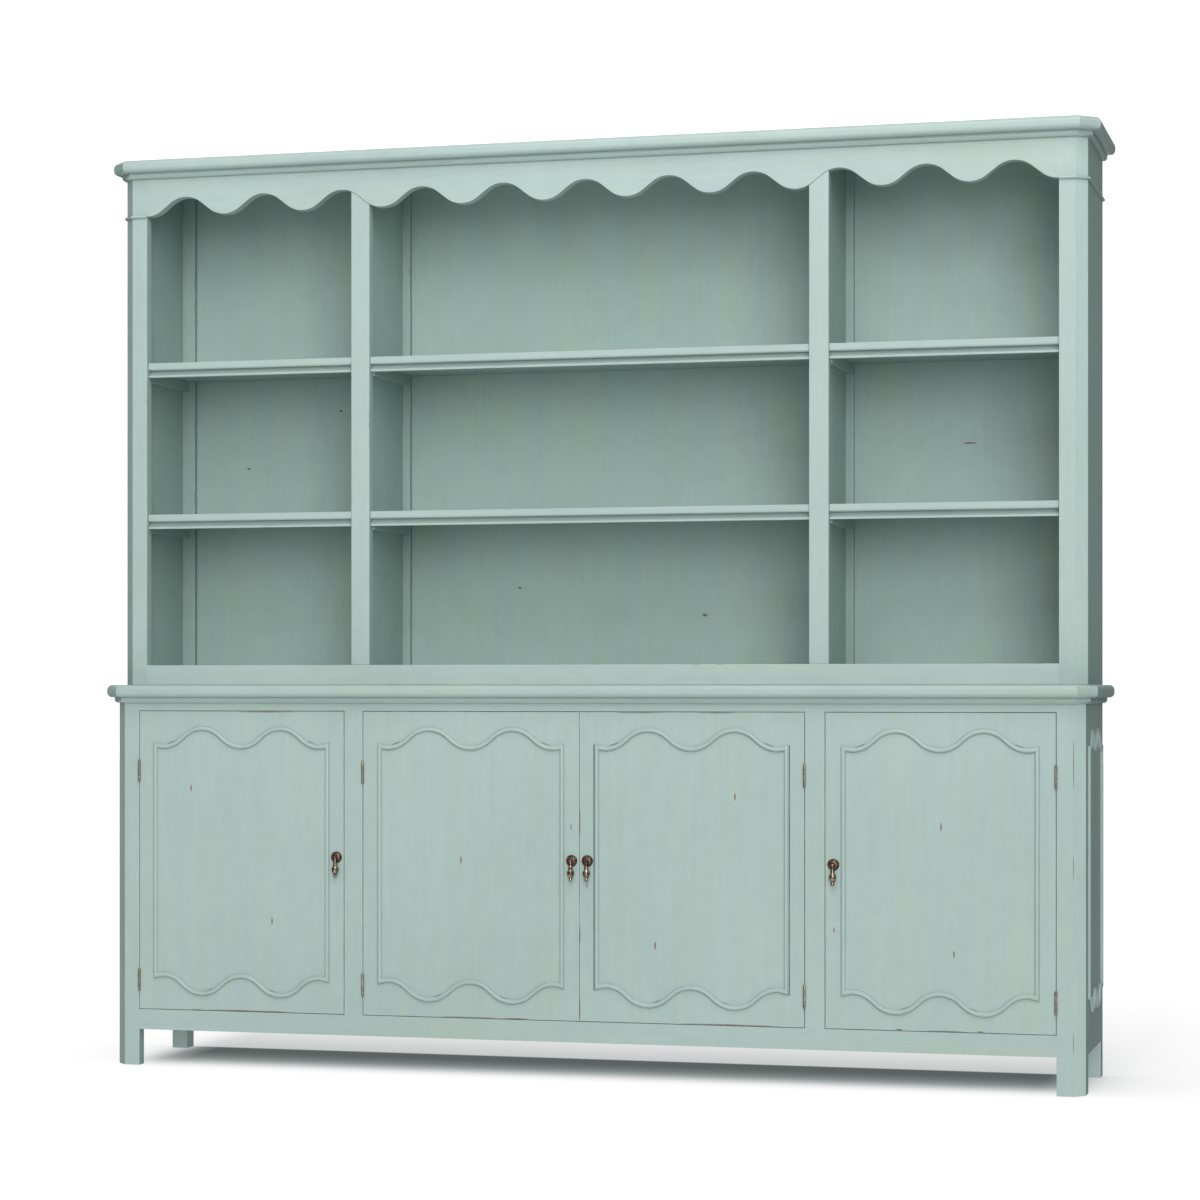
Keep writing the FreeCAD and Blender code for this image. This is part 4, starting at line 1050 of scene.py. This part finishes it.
for number, x in PULL_PLACES:
    pivot = (x, DOOR_FACE - PIVOT_STAND, PULL_LEVEL)
    parts = [turned("rosette", ROSETTE, (x, DOOR_FACE, PULL_LEVEL), "Y")]
    for side in (-1, 1):
        near, far = sorted((x + side * EAR_INNER, x + side * EAR_OUTER))
        ear = box_piece(
            "ear", (near, pivot[1] - EAR_HALF, PULL_LEVEL - EAR_HALF),
            (far, DOOR_FACE - EAR_SINK, PULL_LEVEL + EAR_HALF),
        )
        bevel_edges(ear, lambda spot: spot.y < pivot[1] - EAR_FRONT, EAR_ROUND, 4)
        parts.append(ear)
    parts.append(turned("pin", PIN, pivot, "X"))
    parts.append(turned("shank", SHANK, (x, DOOR_FACE, PULL_LEVEL), "Y"))
    parts.append(turned("nut", NUT, (x, DOOR_FACE, PULL_LEVEL), "Y"))
    rosette = joined("rosette_%d" % number, parts)
    rosette.data.materials.append(rosette_brass)
    smooth(rosette, ROSETTE_ANGLE)
    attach(rosette, "door_%d" % number)
    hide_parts("door_%d_pull_rosette" % number)

    drop = turned("drop_body", DROP, pivot, "Z")
    drop = joined("drop_%d" % number, [drop, turned("eye", EYE, pivot, "X")])
    drop.data.materials.append(drop_brass)
    smooth(drop, DROP_ANGLE)
    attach(drop, "drop_%d" % number)
    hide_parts("door_%d_pull_drop" % number)
print("drop pulls:", len(PULL_PLACES))

# %% [markdown]
# ## Nicks in the paint
#
# Here and there a knock has chipped a sliver of paint off, a few millimetres wide and
# about as long as a fingernail. Along the doors' edges and one post the paint is rubbed
# through in longer lengths, hardly two millimetres wide. Each mark is a flat lens of bare
# wood, proud of the board by a hair's breadth. It starts as a filled circle, is squeezed to
# a lens, its points are pushed about so that no two are alike, and it gets a little
# thickness. Each row of the list says what the mark rides on, where, and how big it is.

# %% Nicks
RANDOM_SEED = 11
BACK_FACE = 0.168
CHIP_SIDES = 22
CHIP_SINK = 0.00005
CHIP_PROUD = 0.0002
LENS_POWER = 0.35
CHIP_UNEVEN = (0.8, 1.2)
CHIP_POINT = 0.1
CHIP_DARK = (0.085, 0.050, 0.036, 1)
CHIP_LIGHT = (0.19, 0.135, 0.105, 1)
CHIP_NOISE, CHIP_RANGE = (400, 3), (0.35, 0.65)
CHIP_ROUGHNESS = 0.8

random.seed(RANDOM_SEED)
chip_wood, chip_tree, chip_shader = new_material("chipped_wood")
chip_tone = remap(chip_tree, noise(chip_tree, *CHIP_NOISE), *CHIP_RANGE, 0, 1)
chip_brown = blend_colours(chip_tree, chip_tone, CHIP_DARK, CHIP_LIGHT)
surface(chip_tree, chip_shader, chip_brown, CHIP_ROUGHNESS)
CHIPS = (
    ("door_1", -0.9734, 0.673, 3.5, 18), ("door_1", -0.7648, 0.356, 3.5, 20),
    ("door_2", -0.2897, 0.509, 3.5, 22), ("door_2", -0.0204, 0.590, 2.5, 18),
    ("door_3", 0.0183, 0.455, 2, 16), ("door_3", 0.3714, 0.664, 3.5, 20),
    ("door_3", 0.1817, 0.317, 4, 20), ("door_4", 0.8480, 0.600, 3.5, 22),
    ("door_4", 0.8776, 0.312, 3.5, 18), ("door_4", 0.6026, 0.362, 3, 14),
    ("back", 0.8635, 1.4955, 34, 4), ("back", 0.2188, 1.0917, 14, 7),
    ("back", -0.2491, 1.1617, 9, 6), ("back", -0.9630, 1.4679, 10, 5),
    ("back", -0.7168, 1.6086, 9, 5), ("arris", 1.1458, 0.742, 1.6, 118),
    ("arris", 1.1458, 0.514, 1.4, 60), ("arris", 1.1458, 0.120, 1.4, 52),
    ("door_3", 0.0014, 0.600, 1.8, 68), ("door_3", 0.0014, 0.342, 1.6, 46),
    ("door_3", 0.0014, 0.166, 1.8, 52), ("door_3", 0.3640, 0.1388, 240, 1.8),
    ("door_3", 0.1420, 0.8570, 118, 1.6), ("door_3", 0.3300, 0.8570, 96, 1.6),
    ("door_1", -0.8200, 0.1388, 234, 2.0), ("door_1", -0.9570, 0.1388, 36, 1.4),
    ("door_1", -0.7810, 0.8570, 150, 1.6), ("door_2", -0.1550, 0.1388, 66, 2.0),
    ("door_2", -0.2650, 0.1388, 150, 1.4), ("door_4", 0.7525, 0.1392, 16, 3.0),
    ("door_4", 0.9390, 0.1392, 18, 2.6), ("door_4", 0.8600, 0.1386, 90, 1.4),
)


def chip(name, x, face, z, width, height):
    """A lens of bare wood on an upright face, its sizes in millimetres."""
    bpy.ops.object.select_all(action="DESELECT")
    bpy.ops.mesh.primitive_circle_add(
        vertices=CHIP_SIDES, radius=0.0005, fill_type="NGON",
        location=(x, face + CHIP_SINK, z), rotation=(math.radians(90), 0, 0),
    )
    piece = bpy.context.active_object
    piece.name = name
    piece.scale = (width, height, 1)
    bpy.ops.object.transform_apply(location=True, rotation=True, scale=True)
    long_way, short_way = (2, 0) if height > width else (0, 2)
    middle = (x, face, z)
    half_long = max(width, height) / 2000
    for vertex in piece.data.vertices:
        along = (vertex.co[long_way] - middle[long_way]) / half_long
        across = vertex.co[short_way] - middle[short_way]
        lens = CHIP_POINT
        if abs(along) < 1:
            lens = (1 - along * along) ** LENS_POWER * random.uniform(*CHIP_UNEVEN)
        vertex.co[short_way] = middle[short_way] + across * lens
    edit_mode("SELECT")
    bpy.ops.mesh.extrude_region_move(TRANSFORM_OT_translate={"value": (0, -CHIP_PROUD, 0)})
    bpy.ops.mesh.select_all(action="SELECT")
    bpy.ops.mesh.normals_make_consistent(inside=False)
    object_mode()
    piece.data.materials.append(chip_wood)
    return piece


for number, (where, x, z, width, height) in enumerate(CHIPS):
    face = BACK_FACE if where == "back" else DOOR_FACE
    piece = chip("chip_%02d" % number, x, face, z, width, height)
    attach(piece, where if where.startswith("door") else "cabinet")
print("nicks:", len(CHIPS))

# %% [markdown]
# ## The studio
#
# The photograph has a white ground, and a front that is far brighter than the sides. A
# big soft light stands to the right of the front, a second hangs above it, and pale
# surroundings give the rest: some light from the ceiling, and more from the floor. A wide
# sun light gives the first, because it is as strong at the far end of the hutch as at the
# near one. The surroundings are painted into the world as soft lobes. A small light
# behind, narrower than the hutch, shows the back and nothing of the front.

# %% Light
SUN_AZIMUTH, SUN_ELEVATION, SUN_SPREAD, SUN_STRENGTH = 20, 10, 40, 0.655
SOFT_LIGHTS = (
    ("high_light", (0.6, -3.0, 4.9), (0, 0, 1.4), 3.0, 158),
    ("back_light", (0, 3.6, 2.3), (0, 0, 1.1), 2.0, 110),
)
SURROUNDINGS = ((4, 70, 1.00), (4, -60, 1.58), (60, 10, 0.20))
KEY_COLOUR = (1.055, 0.945, 0.98)
FILL_COLOUR = (1.04, 1.005, 1.005, 1)
LOBE_POWER = 2.0
WHITE_GROUND = 1.15

world = bpy.data.worlds.new("studio")
bpy.context.scene.world = world
world.use_nodes = True
world_tree = world.node_tree


def direction(azimuth, elevation):
    """The way towards a light, in degrees right of the front and above the floor."""
    around, above = math.radians(azimuth), math.radians(elevation)
    level_part = math.cos(above)
    return Vector((math.sin(around) * level_part, -math.cos(around) * level_part, math.sin(above)))


def world_math(kind, *sources):
    """One step of arithmetic; each value is a socket or a number."""
    node = world_tree.nodes.new("ShaderNodeMath")
    node.operation = kind
    for socket, source in zip(node.inputs, sources):
        feed(world_tree, socket, source)
    return node.outputs["Value"]


look = world_tree.nodes.new("ShaderNodeTexCoord")
given = 0.0
for azimuth, elevation, strength in SURROUNDINGS:
    lobe = world_tree.nodes.new("ShaderNodeVectorMath")
    lobe.operation = "DOT_PRODUCT"
    world_tree.links.new(look.outputs["Generated"], lobe.inputs[0])
    lobe.inputs[1].default_value = direction(azimuth, elevation)
    ahead = world_math("MAXIMUM", lobe.outputs["Value"], 0.0)
    shaped = world_math("POWER", ahead, LOBE_POWER)
    given = world_math("MULTIPLY_ADD", shaped, strength, given)
seen = world_tree.nodes.new("ShaderNodeLightPath")
shown = world_tree.nodes.new("ShaderNodeMix")
world_tree.links.new(seen.outputs["Is Camera Ray"], shown.inputs[0])
world_tree.links.new(given, shown.inputs[2])
shown.inputs[3].default_value = WHITE_GROUND
backdrop = world_tree.nodes["Background"]
backdrop.inputs["Color"].default_value = FILL_COLOUR
world_tree.links.new(shown.outputs[0], backdrop.inputs["Strength"])



def add_light(name, kind, energy, aim):
    """A light in the scene that shines along the aim, in the key's colour."""
    light = bpy.data.lights.new(name, kind)
    light.energy = energy
    light.color = KEY_COLOUR
    holder = bpy.data.objects.new(name, light)
    bpy.context.collection.objects.link(holder)
    holder.rotation_euler = aim.to_track_quat("-Z", "Y").to_euler()
    return holder


sun_aim = -direction(SUN_AZIMUTH, SUN_ELEVATION)
sun = add_light("sun_light", "SUN", SUN_STRENGTH * math.pi, sun_aim)
sun.data.angle = math.radians(SUN_SPREAD)

for name, location, target, size, power in SOFT_LIGHTS:
    holder = add_light(name, "AREA", power, Vector(target) - Vector(location))
    holder.data.shape = "SQUARE"
    holder.data.size = size
    holder.location = location
    holder.visible_camera = False
print("lights: the sun,", len(SOFT_LIGHTS), "soft lights and", len(SURROUNDINGS), "soft lobes")

# %% [markdown]
# ## The floor
#
# The floor glows white by itself, so it needs no light, and none of it is thrown back up:
# the lobe from below already stands for that. Its shade is painted by place. It is
# darkest along the back of the base, lightens towards the front, where light gets under
# the rail, and ends a little beyond the feet. A pale painted shadow, the halo, lies round
# that, and fades out slowly behind and beside the hutch, further on the right than on the left.

# %% Floor
UNDER_SHADE = (
    (-0.35, 1.0), (-0.25, 0.975), (-0.20, 0.94), (-0.145, 0.80), (-0.09, 0.53), (-0.04, 0.32),
    (0.01, 0.21), (0.07, 0.145), (0.12, 0.11), (0.206, 0.10), (0.216, 0.56), (0.30, 0.60),
    (0.43, 0.67), (0.60, 0.76), (1.0, 0.88), (2.4, 1.0),
)
SIDE_SHADE = (
    (0.0, 1.0), (1.05, 1.0), (1.10, 0.85), (1.14, 0.50), (1.17, 0.25), (1.20, 0.12), (1.25, 0.05),
    (1.4, 0.0),
)
HALO_SHADE = (
    (-0.35, 1.0), (-0.20, 0.96), (-0.08, 0.87), (0.1, 0.84), (0.5, 0.86), (1.2, 0.90), (2.4, 1.0)
)
HALO_SIDE = (
    (-1.6, 0.0), (-1.2, 0.3), (0.0, 0.5), (1.2, 1.0), (1.26, 0.78), (1.32, 0.62), (1.45, 0.45),
    (1.8, 0.25), (3.0, 0.0),
)
# Where the painted shadow is deep it is tinted greener, painted light thrown down from the green
# paint above.
RED_LOSS = 0.18
GREEN_GAIN = 0.05
FLOOR_SIZE = 60
UNLIT_FLOOR = (0.03, 0.03, 0.03, 1)

bpy.ops.object.select_all(action="DESELECT")
bpy.ops.mesh.primitive_plane_add(size=FLOOR_SIZE, location=(0, 0, 0))
floor = bpy.context.active_object
floor.name = "floor"
floor_material, floor_tree, floor_shader = new_material("studio_floor")


def shade(tree, place, stops):
    """A grey, greener where it is deep, that follows (place, brightness) stops on one axis."""
    first, last = stops[0][0], stops[-1][0]
    node = tree.nodes.new("ShaderNodeValToRGB")
    tree.links.new(remap(tree, place, first, last, 0, 1), node.inputs["Fac"])
    ramp = node.color_ramp
    for _ in stops[2:]:
        ramp.elements.new(0.5)
    for element, (at, brightness) in zip(ramp.elements, stops):
        element.position = (at - first) / (last - first)
        depth = (1 - brightness) ** 2
        red = brightness * (1 - RED_LOSS * depth)
        green = brightness * (1 + GREEN_GAIN * depth)
        element.color = (red, green, brightness, 1)
    return node.outputs["Color"]


floor_place = floor_tree.nodes.new("ShaderNodeTexCoord")
floor_axes = floor_tree.nodes.new("ShaderNodeSeparateXYZ")
floor_tree.links.new(floor_place.outputs["Object"], floor_axes.inputs["Vector"])
side_place = floor_tree.nodes.new("ShaderNodeMath")
side_place.operation = "ABSOLUTE"
floor_tree.links.new(floor_axes.outputs["X"], side_place.inputs[0])
depth_shade = shade(floor_tree, floor_axes.outputs["Y"], UNDER_SHADE)
side_share = shade(floor_tree, side_place.outputs["Value"], SIDE_SHADE)
halo_depth = shade(floor_tree, floor_axes.outputs["Y"], HALO_SHADE)
halo_share = shade(floor_tree, floor_axes.outputs["X"], HALO_SIDE)
# The halo is a pale painted shadow round the painted shadow under the hutch.
halo = blend_colours(floor_tree, halo_share, (1, 1, 1, 1), halo_depth)
glow = blend_colours(floor_tree, side_share, halo, depth_shade)
floor_tree.links.new(glow, floor_shader.inputs["Emission Color"])
floor_shader.inputs["Emission Strength"].default_value = 1.0
surface(floor_tree, floor_shader, UNLIT_FLOOR, 1.0)
floor_shader.inputs["Specular IOR Level"].default_value = 0.0
floor.data.materials.append(floor_material)
floor.visible_diffuse = False
floor.visible_glossy = False
bpy.context.scene.view_settings.view_transform = "Standard"
bpy.context.scene.view_settings.look = "None"
print("floor shade stops:", len(UNDER_SHADE))
